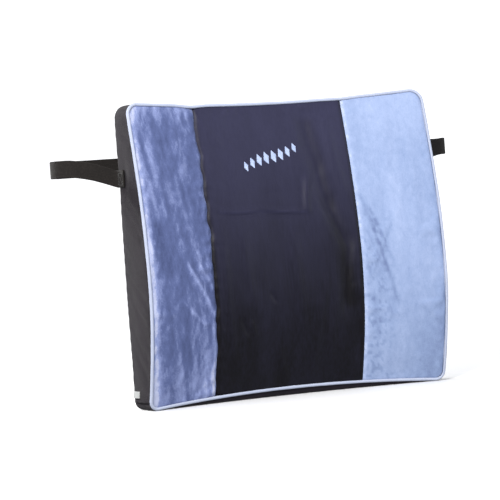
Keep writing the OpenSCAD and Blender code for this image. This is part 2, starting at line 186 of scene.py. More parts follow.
def spaced(stops, coarse, fine, reach):
    """Places from the first stop to the last that meet each stop and are closest together beside them."""
    out = [stops[0]]
    for a, b in zip(stops, stops[1:]):
        at = [0.0]
        while at[-1] < b - a:
            near = min(at[-1], b - a - at[-1])
            at.append(at[-1] + fine + (coarse - fine) * min(1, max(0, near) / reach))
        out += [a + s * (b - a) / at[-1] for s in at[1:]]
    return np.array(out)


def upsample(grid, rows_at, cols_at):
    """A grid read at fractional rows and columns, smoothly."""
    def along(values, at):
        """The rows of an array, read at fractional places."""
        n = len(values)
        i = np.clip(np.floor(at).astype(int), 0, n - 2)
        t = (at - i)[(...,) + (None,) * (values.ndim - 1)]
        a, b, c, d = (values[np.clip(i + k, 0, n - 1)] for k in (-1, 0, 1, 2))
        return catmull(a, b, c, d, t)

    rows = along(grid, rows_at)
    return np.swapaxes(along(np.swapaxes(rows, 0, 1), cols_at), 0, 1)


def grid_normals(grid):
    """Unit normals of a grid of points, from its rows and columns."""
    normal = np.cross(np.gradient(grid, axis=1), np.gradient(grid, axis=0))
    return normal / np.maximum(np.linalg.norm(normal, axis=-1, keepdims=True), 1e-9)


# ---------- meshes ----------

def mesh_object(name, points, faces):
    """A smooth-shaded object from points in millimetres."""
    mesh = bpy.data.meshes.new(name)
    mesh.from_pydata((np.asarray(points, float).reshape(-1, 3) * MM).tolist(), [], [tuple(f) for f in faces])
    mesh.update()
    mesh.shade_smooth()
    obj = bpy.data.objects.new(name, mesh)
    bpy.context.scene.collection.objects.link(obj)
    return obj


def quads(rows, cols, start=0, wrap=False, flip=False):
    """A grid's faces; wrap joins the last row to the first."""
    r, c = np.meshgrid(np.arange(rows if wrap else rows - 1), np.arange(cols - 1), indexing="ij")
    a = start + r * cols + c
    b = start + (r + 1) % rows * cols + c
    faces = np.stack([a, a + 1, b + 1, b], -1).reshape(-1, 4)
    return (faces[:, ::-1] if flip else faces).tolist()


def rim(rows, cols):
    """The numbers of a grid's outer points, once round."""
    ids = np.arange(rows * cols).reshape(rows, cols)
    return np.r_[ids[0], ids[1:, -1], ids[-1, -2::-1], ids[-2:0:-1, 0]].tolist()


def cloth_shell(name, outer, normals, thickness=CLOTH_T):
    """A closed piece of cloth: the outer grid, the same grid moved in, and a rim round both."""
    rows, cols = outer.shape[:2]
    inner = outer - normals * thickness
    count = rows * cols
    ids = rim(rows, cols)
    faces = quads(rows, cols, flip=True) + quads(rows, cols, start=count)
    faces += [(b, a, a + count, b + count) for a, b in zip(ids, ids[1:] + ids[:1])]
    obj = mesh_object(name, np.concatenate([outer.reshape(-1, 3), inner.reshape(-1, 3)]), faces)
    fix_normals(obj)
    return obj


def fix_normals(obj):
    """Turns a closed mesh's faces outwards."""
    bm = bmesh.new()
    bm.from_mesh(obj.data)
    bmesh.ops.recalc_face_normals(bm, faces=bm.faces)
    bm.to_mesh(obj.data)
    bm.free()
    obj.data.shade_smooth()


def paint(obj, name, values):
    """Stores a number or a vector for each point of the mesh."""
    values = np.asarray(values, np.float32)
    kind, field = ("FLOAT", "value") if values.ndim == 1 else ("FLOAT_VECTOR", "vector")
    attribute = obj.data.attributes.new(name, kind, "POINT")
    attribute.data.foreach_set(field, values.ravel())


def paint_both(obj, name, grid_values):
    """Stores a grid's values on a cloth shell's outer and inner points."""
    flat = grid_values.reshape(-1, *grid_values.shape[2:])
    paint(obj, name, np.concatenate([flat, flat]))


def sweep(path, sections, frames, closed=False):
    """Points and faces of a section swept along a path. sections is (m, 2) or (n, m, 2)."""
    side, top = frames
    sections = np.broadcast_to(sections, (len(path),) + np.shape(sections)[-2:])
    points = path[:, None] + side[:, None] * sections[..., :1] + top[:, None] * sections[..., 1:]
    n, m = points.shape[:2]
    faces = []
    for i in range(n if closed else n - 1):
        a, b = i * m, (i + 1) % n * m
        faces += [(a + j, a + (j + 1) % m, b + (j + 1) % m, b + j) for j in range(m)]
    if not closed:
        faces += [tuple(range(m))[::-1], tuple(range((n - 1) * m, n * m))]
    return points.reshape(-1, 3), faces


def round_section(r, sides, squash=1.0):
    """A round section, or an oval one where squash is under 1."""
    a = 2 * np.pi * np.arange(sides) / sides
    return np.stack([r * np.cos(a), r * squash * np.sin(a)], -1)


def path_frames(path, up, closed=False):
    """A side and a top direction at each point of a path; top leans as near to `up` as it can."""
    along = unit(np.roll(path, -1, 0) - np.roll(path, 1, 0) if closed else np.gradient(path, axis=0))
    side = unit(np.cross(along, np.broadcast_to(np.asarray(up, float), path.shape)))
    return side, np.cross(side, along)


class Gather:
    """Collects many small closed shapes into one mesh."""

    def __init__(self):
        self.points, self.faces, self.count = [], [], 0

    def add(self, points, faces):
        """One more closed shape."""
        self.points.append(points)
        self.faces += [tuple(i + self.count for i in f) for f in faces]
        self.count += len(points)

    def thread(self, path, r, up, sides=6, squash=0.75):
        """A thread's visible stitch: thick in its middle, with its ends turned down into the cloth."""
        path = np.asarray(path, float)
        t = np.linspace(0, 1, len(path))
        grow = 0.45 + 0.55 * np.sin(np.pi * t) ** 0.5
        section = round_section(r, sides, squash)[None] * grow[:, None, None]
        self.add(*sweep(path, section, path_frames(path, up)))

    def build(self, name):
        """Everything collected, as one object."""
        obj = mesh_object(name, np.concatenate(self.points), self.faces)
        fix_normals(obj)
        return obj


# ---------- materials ----------

def nodes_of(name):
    """A new material with its node tree and its shader."""
    material = bpy.data.materials.new(name)
    material.use_nodes = True
    tree = material.node_tree
    return material, tree, tree.nodes["Principled BSDF"]


def plug(tree, node, inputs):
    """Sets a node's inputs to values, or joins them to other nodes' outputs."""
    for key, value in inputs.items():
        if isinstance(value, bpy.types.NodeSocket):
            tree.links.new(value, node.inputs[key])
        else:
            node.inputs[key].default_value = value


def add(tree, kind, inputs=None, **settings):
    """A shader node with its settings and inputs."""
    node = tree.nodes.new(kind)
    for key, value in settings.items():
        setattr(node, key, value)
    plug(tree, node, inputs or {})
    return node


def maths(tree, operation, a, b=0.0):
    """A number worked out from one or two others."""
    return add(tree, "ShaderNodeMath", {0: a, 1: b}, operation=operation).outputs[0]


def plus(tree, a, b):
    """The sum of two numbers."""
    return maths(tree, "ADD", a, b)


def times(tree, a, b):
    """The product of two numbers."""
    return maths(tree, "MULTIPLY", a, b)


def wave(tree, length, pitch):
    """A sine that crosses zero at each pitch of a length, both in millimetres."""
    return maths(tree, "SINE", times(tree, length, math.pi / pitch))


def place(tree, stretch=(1, 1, 1), turn=(0, 0, 0)):
    """Object coordinates in millimetres, stretched and turned."""
    coords = add(tree, "ShaderNodeTexCoord").outputs["Object"]
    scale = [1000 / s for s in stretch]
    return add(tree, "ShaderNodeMapping", {"Vector": coords, "Rotation": turn, "Scale": scale}).outputs[0]


def fuzz(tree, vector, scale, detail=3.0, rough=0.55):
    """Noise from 0 to 1 with `scale` waves in a unit of the vector."""
    return add(tree, "ShaderNodeTexNoise",
               {"Vector": vector, "Scale": scale, "Detail": detail, "Roughness": rough}).outputs["Fac"]


def between(tree, value, low, high, out_low=0.0, out_high=1.0):
    """A number moved from the range low to high into the range out_low to out_high."""
    return add(tree, "ShaderNodeMapRange",
               {"Value": value, "From Min": low, "From Max": high, "To Min": out_low, "To Max": out_high}
               ).outputs["Result"]


def attribute(tree, name, output="Fac"):
    """What paint() stored on the mesh under a name."""
    return add(tree, "ShaderNodeAttribute", attribute_name=name).outputs[output]


def tinted(tree, colour, factor):
    """A colour made lighter or darker by a factor near 1."""
    return add(tree, "ShaderNodeVectorMath", {0: colour, "Scale": factor}, operation="SCALE").outputs[0]


def mixed(tree, factor, a, b):
    """A colour between two, by a factor from 0 to 1."""
    inputs = {0: factor, 6: (*a, 1), 7: (*b, 1)}
    return add(tree, "ShaderNodeMix", inputs, data_type="RGBA").outputs[2]


def raise_by(tree, bsdf, height, depth_mm, strength=1.0, below=None):
    """Bump from a height between 0 and 1 that stands for depth_mm."""
    inputs = {"Height": height, "Distance": depth_mm * MM, "Strength": strength}
    if below is not None:
        inputs["Normal"] = below
    normal = add(tree, "ShaderNodeBump", inputs).outputs[0]
    tree.links.new(normal, bsdf.inputs["Normal"])
    return normal


def weave(tree, u, v, pitch):
    """Height of a plain weave over two lengths in millimetres: threads pass over and under."""
    across, along = wave(tree, u, pitch), wave(tree, v, pitch)
    ridges = times(tree, maths(tree, "ABSOLUTE", across), maths(tree, "ABSOLUTE", along))
    return plus(tree, times(tree, times(tree, across, along), 0.35), ridges)


def cloth_uv(tree):
    """The two lengths along the cloth, in millimetres, stored on the mesh."""
    split = add(tree, "ShaderNodeSeparateXYZ", {0: attribute(tree, "cloth_uv", "Vector")})
    return split.outputs[0], split.outputs[1]


def velour(name, shadow, colour, light, sheen):
    """Brushed pile: its colour follows a value stored on the mesh from 0 (dark) to 1 (light), the pile's own
    tone together with painted light and shade.
    """
    material, tree, bsdf = nodes_of(name)
    nap_and_painted_light = attribute(tree, "nap_and_painted_light")
    clumps = fuzz(tree, place(tree, (1, 1, 1.8)), 0.16, 5.0, 0.62)
    hairs = fuzz(tree, place(tree, (0.55, 0.55, 1.5)), 0.75, 3.0, 0.6)
    nap_and_painted_light = plus(tree, nap_and_painted_light, between(tree, clumps, 0.3, 0.7, -0.10, 0.10))
    nap_and_painted_light = plus(tree, nap_and_painted_light, between(tree, hairs, 0.3, 0.7, -0.10, 0.10))
    ramp_node = add(tree, "ShaderNodeValToRGB", {"Fac": nap_and_painted_light})
    stops = ramp_node.color_ramp.elements
    stops[0].position, stops[0].color = 0.0, (*shadow, 1)
    stops[1].position, stops[1].color = 0.85, (*light, 1)
    stops.new(0.45).color = (*colour, 1)
    # The lightest stop is for painted highlight, such as the lit roll beside the piping.
    stops.new(1.0).color = (*[0.25 + 0.75 * c for c in light], 1)
    plug(tree, bsdf, {"Base Color": ramp_node.outputs[0], "Roughness": 0.88, "Specular IOR Level": 0.2,
                      "Sheen Weight": sheen, "Sheen Roughness": 0.35,
                      "Sheen Tint": (*[0.5 + 0.5 * c for c in light], 1)})
    first = raise_by(tree, bsdf, clumps, 0.9, 0.5)
    raise_by(tree, bsdf, hairs, 0.45, 0.6, first)
    return material


def satin(name, dark, light):
    """A fine twill with soft gloss; its colour follows the tone stored on the mesh, which holds painted light
    and shade, and its twill ridges are painted a little lighter.
    """
    material, tree, bsdf = nodes_of(name)
    u, v = cloth_uv(tree)
    tone = attribute(tree, "nap_and_painted_light")
    streaks = fuzz(tree, place(tree, (1.2, 1.2, 14)), 0.6, 3.0, 0.6)
    tone = plus(tree, tone, between(tree, streaks, 0.3, 0.7, -0.05, 0.05))
    twill = wave(tree, plus(tree, u, times(tree, v, 1.6)), 0.55)
    # Painted highlight: the twill's raised ridges are a little lighter.
    tone = plus(tree, tone, times(tree, twill, 0.035))
    plug(tree, bsdf, {"Base Color": mixed(tree, tone, dark, light),
                      "Roughness": between(tree, streaks, 0.3, 0.7, 0.42, 0.56), "Specular IOR Level": 0.16,
                      "Sheen Weight": 0.02, "Sheen Roughness": 0.4})
    first = raise_by(tree, bsdf, streaks, 0.06, 0.4)
    raise_by(tree, bsdf, twill, 0.04, 0.4, first)
    return material


def woven(name, dark, light, pitch, depth, rough=0.85, sheen=0.05, specular=0.15):
    """A plain weave with a painted highlight on the threads' tops, and a little lighter where it rubs."""
    material, tree, bsdf = nodes_of(name)
    u, v = cloth_uv(tree)
    threads = weave(tree, u, v, pitch)
    blotch = fuzz(tree, place(tree), 0.05, 4.0, 0.6)
    slubs = fuzz(tree, place(tree), 1.3, 3.0, 0.6)
    # Painted highlight on the threads' tops; the blotches are where the cloth rubs.
    tone = plus(tree, times(tree, threads, 0.45), between(tree, blotch, 0.3, 0.7, 0.02, 0.26))
    tone = plus(tree, tone, between(tree, slubs, 0.3, 0.7, -0.12, 0.12))
    plug(tree, bsdf, {"Base Color": mixed(tree, tone, dark, light), "Roughness": rough,
                      "Specular IOR Level": specular, "Sheen Weight": sheen, "Sheen Roughness": 0.5})
    first = raise_by(tree, bsdf, slubs, 0.15, 0.4)
    raise_by(tree, bsdf, threads, depth, 0.8, first)
    return material


def thread_like(name, dark, light, rough=0.5, sheen=0.15):
    """Smooth twisted thread or yarn."""
    material, tree, bsdf = nodes_of(name)
    twist = fuzz(tree, place(tree, (1, 1, 1), (0.4, 0.7, 0.2)), 3.2, 2.0, 0.5)
    blotch = fuzz(tree, place(tree), 0.12, 2.0)
    # Painted highlight: the twist's raised ridges are lighter.
    tone = plus(tree, between(tree, twist, 0.3, 0.7, 0.1, 0.8), between(tree, blotch, 0.3, 0.7, -0.1, 0.2))
    plug(tree, bsdf, {"Base Color": mixed(tree, tone, dark, light), "Roughness": rough,
                      "Sheen Weight": sheen})
    raise_by(tree, bsdf, twist, 0.12, 0.6)
    return material


def elastic(name, dark, light, rib):
    """Ribbed elastic: cords along it and crossing picks."""
    material, tree, bsdf = nodes_of(name)
    u, v = cloth_uv(tree)
    picks = maths(tree, "ABSOLUTE", wave(tree, u, 0.9))
    ribs = maths(tree, "ABSOLUTE", wave(tree, v, rib))
    height = times(tree, picks, plus(tree, times(tree, ribs, 0.6), 0.4))
    lint = fuzz(tree, place(tree), 0.5, 5.0, 0.7)
    # Painted highlight on the raised picks and cords; the lint is the elastic's own colour.
    tone = plus(tree, times(tree, height, 0.55), between(tree, lint, 0.45, 0.75, 0.0, 0.5))
    plug(tree, bsdf, {"Base Color": mixed(tree, tone, dark, light), "Roughness": 0.8,
                      "Specular IOR Level": 0.2, "Sheen Weight": 0.03})
    first = raise_by(tree, bsdf, lint, 0.1, 0.3)
    raise_by(tree, bsdf, height, 0.18, 0.8, first)
    return material


def moulded(name, colour):
    """Moulded plastic with a fine spark-eroded grain and rubbed places."""
    material, tree, bsdf = nodes_of(name)
    grain = fuzz(tree, place(tree), 2.4, 3.0, 0.5)
    wear = fuzz(tree, place(tree), 0.12, 5.0, 0.65)
    factor = between(tree, wear, 0.35, 0.75, 0.85, 1.6)
    plug(tree, bsdf, {"Base Color": tinted(tree, colour, factor),
                      "Roughness": between(tree, wear, 0.35, 0.7, 0.34, 0.52)})
    raise_by(tree, bsdf, grain, 0.05, 0.35)
    return material


def nickel(name):
    """Dull plated zinc with fine scratches and tarnish."""
    material, tree, bsdf = nodes_of(name)
    scratches = fuzz(tree, place(tree, (0.3, 1, 4), (0.3, 0.2, 0.5)), 1.6, 5.0, 0.7)
    tarnish = fuzz(tree, place(tree), 0.22, 4.0)
    tone = between(tree, tarnish, 0.35, 0.7, 0.0, 1.0)
    plug(tree, bsdf, {"Base Color": mixed(tree, tone, (0.62, 0.61, 0.60), (0.38, 0.36, 0.34)),
                      "Metallic": 1.0, "Roughness": between(tree, scratches, 0.3, 0.7, 0.24, 0.46)})
    raise_by(tree, bsdf, scratches, 0.03, 0.3)
    return material


def nylon(name):
    """Drawn nylon wire, slightly clear at its surface."""
    material, tree, bsdf = nodes_of(name)
    blotch = fuzz(tree, place(tree), 0.4, 2.0)
    plug(tree, bsdf, {"Base Color": mixed(tree, blotch, (0.012, 0.012, 0.014), (0.05, 0.05, 0.055)),
                      "Roughness": 0.32, "Coat Weight": 0.15})
    raise_by(tree, bsdf, fuzz(tree, place(tree), 4.0, 2.0), 0.03, 0.3)
    return material


def foam_material(name):
    """Open-cell foam in a warm, slightly yellowed cream, with painted shade in its small pores."""
    material, tree, bsdf = nodes_of(name)
    cells = add(tree, "ShaderNodeTexVoronoi", {"Vector": place(tree), "Scale": 0.9}).outputs["Distance"]
    blotch = fuzz(tree, place(tree), 0.03, 4.0)
    # Painted shade: the sunken pores are darker.
    tone = plus(tree, between(tree, cells, 0.1, 0.6, 0.9, 0.1), between(tree, blotch, 0.3, 0.7, -0.2, 0.2))
    plug(tree, bsdf, {"Base Color": mixed(tree, tone, (0.83, 0.72, 0.50), (0.45, 0.36, 0.22)),
                      "Roughness": 0.95})
    raise_by(tree, bsdf, cells, 0.5, 0.7)
    return material


def paper(name, colour, floor_glow, wall_glow, wall_from):
    """Pale paper that glows more towards the wall, so that no edge shows behind the object."""
    material, tree, bsdf = nodes_of(name)
    bsdf.inputs["Base Color"].default_value = (*colour, 1)
    coords = add(tree, "ShaderNodeTexCoord").outputs["Object"]
    away = add(tree, "ShaderNodeVectorMath", {0: coords}, operation="LENGTH").outputs["Value"]
    glow = between(tree, away, wall_from, FLOOR_R * MM, floor_glow, wall_glow)
    plug(tree, bsdf, {"Emission Color": (1, 1, 1, 1), "Emission Strength": glow, "Roughness": 0.9,
                      "Specular IOR Level": 0.1})
    return material


MATERIALS = {name: make(name, *values) for name, make, *values in (
    ("velour_grey", velour, (0.046, 0.062, 0.150), (0.092, 0.120, 0.265), (0.25, 0.30, 0.54), 0.12),
    ("velour_blue", velour, (0.145, 0.193, 0.355), (0.240, 0.315, 0.515), (0.34, 0.42, 0.64), 0.10),
    ("satin_navy", satin, (0.0022, 0.0018, 0.0036), (0.037, 0.037, 0.080)),
    ("band_cloth", woven, (0.004, 0.0028, 0.005), (0.021, 0.0140, 0.0245), 0.75, 0.16),
    ("piping", woven, (0.36, 0.40, 0.53), (0.53, 0.58, 0.73), 0.45, 0.06, 0.6, 0.1, 0.3),
    ("cord_filler", thread_like, (0.60, 0.59, 0.55), (0.85, 0.84, 0.80), 0.8),
    ("emblem_thread", thread_like, (0.30, 0.38, 0.62), (0.56, 0.66, 0.92), 0.38, 0.3),
    ("label_ribbon", woven, (0.30, 0.31, 0.31), (0.44, 0.45, 0.45), 0.35, 0.05, 0.7, 0.1, 0.2),
    ("zip_tape", woven, (0.008, 0.008, 0.010), (0.045, 0.045, 0.05), 1.1, 0.22, 0.8),
    ("zip_coil", nylon),
    ("zip_metal", nickel),
    ("elastic", elastic, (0.004, 0.0035, 0.0035), (0.030, 0.025, 0.023), 1.25),
    ("thread", thread_like, (0.02, 0.02, 0.022), (0.11, 0.11, 0.115), 0.45),
    ("buckle_plastic", moulded, (0.012, 0.012, 0.013)),
    ("foam", foam_material),
)}


def finish_piece(obj, node, slot, body="cushion"):
    """Gives a piece its material and its body, and hides the CAD node that it stands for, if there is one."""
    obj.data.materials.clear()
    obj.data.materials.append(MATERIALS[slot])
    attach(obj, body)
    if node:
        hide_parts(node)
    return obj


# ---------- the cover's surfaces ----------

def side_depth(z):
    """How thick the cushion's side is at height z."""
    z = np.clip(z, 0, CUSHION_H)
    low = BASE_D + (BULGE_D - BASE_D) * np.sin(np.pi / 2 * z / BULGE_Z)
    high = TOP_D + (BULGE_D - TOP_D) * np.cos(np.pi / 2 * (z - BULGE_Z) / (CUSHION_H - BULGE_Z))
    return np.where(z < BULGE_Z, low, high)


def front_y(x, z):
    """Where the front is: hollow across the width, and bulged by height."""
    radius = HOLLOW_R + BACK_Y - side_depth(z) + SAG
    return -HOLLOW_R + np.sqrt(radius ** 2 - x ** 2)


def bow(x, run):
    """1 in the middle of an edge, falling to 0 where its corners start."""
    return np.maximum(0, 1 - (x / run) ** 2)


def half_width(z, inset, floor):
    """Half the width of the rounded outline at height z."""
    low = BOTTOM_R - np.clip(z - floor, 0, BOTTOM_R)
    high = TOP_R - np.clip(CUSHION_H - inset - z, 0, TOP_R)
    return (HALF_W - inset - (BOTTOM_R - np.sqrt(BOTTOM_R ** 2 - low ** 2))
            - (TOP_R - np.sqrt(TOP_R ** 2 - high ** 2)))


def top_drop(x, run):
    """How far the top edge lies below its corners: a shallow dip, pulled in a little at the two seams."""
    pulled = 1.7 * bump(x - SEAM_LEFT_X + 3, 15) + 0.7 * bump(x - SEAM_RIGHT_X, 16)
    return TOP_DIP * bow(x, run) + pulled


# The grid's columns past this follow the round corners
STRAIGHT_X = 125


def cover_grid(across, up, inset, floor, rise):
    """x and z of a grid over the outline: its outer columns follow the round corners."""
    x, z = np.meshgrid(across, up)
    room = HALF_W - inset - STRAIGHT_X
    outer = np.maximum(np.abs(x) - STRAIGHT_X, 0) * (half_width(z, inset, floor) - STRAIGHT_X) / room
    x = np.sign(x) * (np.minimum(np.abs(x), STRAIGHT_X) + outer)
    t = (z - floor) / (CUSHION_H - inset - floor)
    z = z + (1 - t) * rise * bow(x, HALF_W - inset - BOTTOM_R)
    z = z - t * top_drop(x, HALF_W - inset - TOP_R)
    return x, z


def edge_distance(x, z, inset, floor, rise):
    """How far a place is inside the outline."""
    low = floor + rise * bow(x, HALF_W - inset - BOTTOM_R)
    high = CUSHION_H - inset - top_drop(x, HALF_W - inset - TOP_R)
    upper = z > CUSHION_H / 2
    r = np.where(upper, TOP_R, BOTTOM_R)
    qx = np.abs(x) - (HALF_W - inset - r)
    qz = np.where(upper, z - (high - r), (low + r) - z)
    return r - np.hypot(np.maximum(qx, 0), np.maximum(qz, 0)) - np.minimum(np.maximum(qx, qz), 0)


def rows_between(low, high, step, low_arc=True, high_arc=True):
    """Row heights, closer together where a corner turns."""
    parts = []
    if low_arc:
        a = np.radians(np.linspace(0, 90, 9))
        parts.append(low + BOTTOM_R * (1 - np.cos(a)))
        low += BOTTOM_R
    top = high
    if high_arc:
        high -= TOP_R
    parts.append(np.linspace(low, high, int(round((high - low) / step)) + 1))
    if high_arc:
        a = np.radians(np.linspace(90, 0, 11))
        parts.append(top - TOP_R * (1 - np.cos(a)))
    return chain(*parts)


SETTLE_FRAMES = 20


def settle(points, pinned, growth, pressure, cap):
    """How a slightly oversized grid of cloth moves when pressed outwards, held at its pinned points."""
    rows, cols = points.shape[:2]
    scene = bpy.context.scene
    sheet = mesh_object("settling_cloth", points, quads(rows, cols, flip=True))
    sheet.vertex_groups.new(name="held").add(np.flatnonzero(pinned.ravel()).tolist(), 1.0, "REPLACE")
    cloth = sheet.modifiers.new("cloth", "CLOTH")
    cloth.settings.vertex_group_mass = "held"
    cloth.settings.quality = 8
    cloth.settings.mass = 0.3
    cloth.settings.shrink_min = -growth
    cloth.settings.use_pressure = True
    cloth.settings.uniform_pressure_force = pressure
    cloth.settings.effector_weights.gravity = 0
    cloth.collision_settings.use_collision = False
    cloth.point_cache.frame_start, cloth.point_cache.frame_end = 1, SETTLE_FRAMES
    for f in range(1, SETTLE_FRAMES + 1):
        scene.frame_set(f)
    settled = sheet.evaluated_get(bpy.context.evaluated_depsgraph_get())
    co = np.zeros(rows * cols * 3, np.float32)
    settled.data.vertices.foreach_get("co", co)
    scene.frame_set(1)
    bpy.data.objects.remove(sheet)
    move = co.reshape(rows, cols, 3).astype(float) / MM - points
    length = np.linalg.norm(move, axis=-1, keepdims=True)
    return move * np.tanh(length / cap) * cap / np.maximum(length, 1e-6)


# ---------- the front ----------

# Folds, listed one by one: from (x, z) to (x, z), half width, height, and whether one flank is steep
CENTRE_FOLDS = [
    ((-88, 219), (-30, 218), 2.2, 0.8, True),
    ((-32, 218), (26, 213), 2.2, 0.9, True),
    ((33, 256), (26, 212), 4.0, 1.7, False),
    ((36, 330), (47, 262), 9.0, -1.9, False),
    ((45, 272), (55, 214), 8.0, -2.6, False),
    ((53, 226), (76, 168), 8.0, -2.8, False),
    ((76, 178), (66, 88), 7.0, -2.2, False),
    ((66, 316), (78, 226), 7.0, 1.2, False),
    ((-68, 96), (-60, 76), 2.6, -1.4, False),
    ((-57, 92), (-51, 72), 2.4, 0.9, False),
    ((-30, 124), (-22, 110), 2.6, -1.0, False),
    ((-86, 200), (-78, 50), 5.0, 0.9, False),
    ((-60, 190), (-52, 110), 6.0, 0.7, False),
    ((6, 196), (14, 70), 7.0, 0.8, False),
    ((44, 132), (24, 24), 5.0, 1.0, False),
    ((58, 118), (46, 40), 4.0, 0.8, False),
    ((-20, 60), (-8, 18), 4.0, 0.7, False),
    ((-96, 330), (-70, 292), 5.0, 0.7, False),
]
LEFT_FOLDS = [
    ((-140, 164), (-102, 102), 3.0, 1.2, True),
    ((-128, 170), (-102, 128), 2.6, 0.9, True),
    ((-150, 128), (-108, 84), 4.0, 0.9, False),
    ((-121, 96), (-102, 92), 2.4, 1.1, False),
    ((-160, 320), (-154, 210), 6.0, 0.8, False),
    ((-134, 330), (-126, 262), 5.0, 0.9, False),
    ((-166, 110), (-160, 30), 5.0, 0.7, False),
]
RIGHT_FOLDS = [
    ((94, 232), (130, 96), 3.4, 0.9, True),
    ((128, 200), (98, 128), 3.2, 0.6, False),
    ((140, 330), (136, 180), 8.0, 0.7, False),
    ((164, 300), (170, 120), 7.0, 0.6, False),
]
BACKING = ((-66, 30), (240, 304))


def beside(x, z, a, b):
    """The length from a to b, and how far along it and to its left each place is."""
    d = np.subtract(b, a)
    length = np.hypot(*d)
    along = ((x - a[0]) * d[0] + (z - a[1]) * d[1]) / length
    return length, along, ((z - a[1]) * d[0] - (x - a[0]) * d[1]) / length


def fold_height(x, z, folds):
    """Height of hand-placed folds at each place; each bows a little to its left."""
    total = np.zeros_like(x)
    for a, b, width, height, steep in folds:
        length, along, off = beside(x, z, a, b)
        off = off + 0.03 * length * np.sin(np.pi * np.clip(along / length, 0, 1))
        ends = ramp(along, -0.15 * length, 0.25 * length) * (1 - ramp(along, 0.75 * length, 1.15 * length))
        q = off / width
        shape = q * np.exp(0.5 - 0.5 * q ** 2) * 1.2 if steep else np.exp(-q ** 2)
        total += height * shape * ends
    return total


def left_seam_wave(z):
    """Sideways wander of the puckered left seam."""
    flat = np.zeros_like(z)
    return (1.5 * flat_noise(flat, z, 15.0, 3) + 0.9 * flat_noise(flat, z, 48.0, 4)
            + 0.5 * flat_noise(flat, z, 7.0, 12))


def pucker(run, pitch, wander, away, fade, start, held=0.0):
    """Ripples along a seam, whole where `start` ends and dying away past `held` millimetres from the seam."""
    ripple = np.sin(2 * np.pi * (run / pitch + wander))
    return ripple * np.exp(-np.maximum(away - held, 0) / fade) * ramp(away, *start)


def front_normals_of(grid):
    """Unit normals of the front's grid, turned to the front."""
    normals = grid_normals(grid)
    return -normals if normals[len(grid) // 2, 5, 1] > 0 else normals


def front_surface():
    """The front as one grid: its points, normals, cloth lengths and the columns of its two seams."""
    stops = [FRONT_INSET - HALF_W, SEAM_LEFT_X, SEAM_RIGHT_X, HALF_W - FRONT_INSET]
    sewn = (FRONT_INSET, FRONT_FLOOR, SEAM_RISE)
    across = spaced(stops, 2.3, 0.75, 9)
    up = rows_between(FRONT_FLOOR, CUSHION_H - FRONT_INSET, 2.2)
    coarse_across = spaced(stops, 6.0, 6.0, 9)
    coarse_up = np.linspace(up[0], up[-1], 60)
    columns = [int(np.argmin(np.abs(across - s))) for s in stops[1:3]]

    cx, cz = cover_grid(coarse_across, coarse_up, *sewn)
    base = np.stack([cx, front_y(cx, cz), cz], -1)
    pinned = np.zeros(cx.shape, bool)
    pinned[[0, -1]] = True
    for s in stops:
        pinned[:, int(np.argmin(np.abs(coarse_across - s)))] = True
    moved = settle(base, pinned, growth=0.03, pressure=4.0, cap=4.5)
    moved = upsample(moved, np.interp(up, coarse_up, np.arange(len(coarse_up))),
                     np.interp(across, coarse_across, np.arange(len(coarse_across))))

    x, z = cover_grid(across, up, *sewn)
    uv = np.stack([x, z, np.zeros_like(x)], -1)
    edge = edge_distance(x, z, *sewn)
    from_left, from_right = np.abs(x - SEAM_LEFT_X), np.abs(x - SEAM_RIGHT_X)
    shift = left_seam_wave(z) * bump(from_left, 14) * ramp(edge, 0, 8)
    x = x + shift
    grid = np.stack([x, front_y(x, z), z], -1)
    normals = front_normals_of(grid)

    in_left, in_right = x < SEAM_LEFT_X, x > SEAM_RIGHT_X
    in_centre = ~in_left & ~in_right
    crown = ramp(np.minimum(np.minimum(from_left, from_right), edge), 0, 42)
    height = 1.6 * crown
    height += -0.3 * bump(edge, 0.9) - 0.1 * np.exp(-edge / 7)
    height += -1.9 * np.exp(-(from_left / 2.2) ** 2) - 0.9 * np.exp(-from_left / 8)
    height += -1.3 * np.exp(-(from_right / 1.8) ** 2) - 0.5 * np.exp(-from_right / 8)

    # Puckers: the cloth gathers across its seams
    flat = np.zeros_like(x)
    depth = np.where(in_left, 1.5, 0.6) * (0.6 + 0.5 * flat_noise(flat, z, 40.0, 6))
    wander = 0.55 * flat_noise(flat, z, 26.0, 5) + from_left * 0.06 / np.pi
    height += depth * pucker(z, 14.0, wander, from_left, 9, (0, 3))
    depth = np.where(in_right, 0.35, 0.22)
    height += depth * pucker(z, 19.0, 0.5 * flat_noise(flat, z, 30.0, 7), from_right, 8, (0, 3))
    run = np.where(edge < HALF_W - FRONT_INSET - np.abs(x) - 0.5, x, z)
    height += 0.42 * pucker(run, 12.5, 0.5 * noise3(grid, 22.0, 8), edge, 8, (0.5, 4))

    height += np.where(in_centre, 1.5 * fold_height(x, z, CENTRE_FOLDS), 0) * ramp(edge, 0, 10)
    height += np.where(in_left, fold_height(x, z, LEFT_FOLDS), 0) * ramp(edge, 2, 14)
    height += np.where(in_right, fold_height(x, z, RIGHT_FOLDS), 0) * ramp(edge, 2, 14)
    backing = (ramp(x, BACKING[0][0], BACKING[0][0] + 2) * (1 - ramp(x, BACKING[0][1] - 2, BACKING[0][1]))
               * ramp(z, BACKING[1][0], BACKING[1][0] + 2) * (1 - ramp(z, BACKING[1][1] - 2, BACKING[1][1])))
    height += 0.3 * backing
    height += 0.75 * flat_noise(x, z, 58.0, 9) * ramp(edge, 3, 25)
    height += 0.28 * flat_noise(x, z, (15.0, 26.0), 10) * ramp(edge, 3, 12)
    height += np.where(in_centre, 0.12, 0.2) * flat_noise(x, z, (6.0, 9.0), 11) * ramp(edge, 2, 6)

    # Foam backs the cloth, so of its settling only the movement outwards is kept, with a soft limit
    out = np.einsum("...k,...k", moved, normals)
    moved = moved - normals * (out - np.logaddexp(0, 4 * out) / 4)[..., None]
    grid = grid + moved * 0.55 + normals * height[..., None]
    return grid, front_normals_of(grid), uv, edge, columns


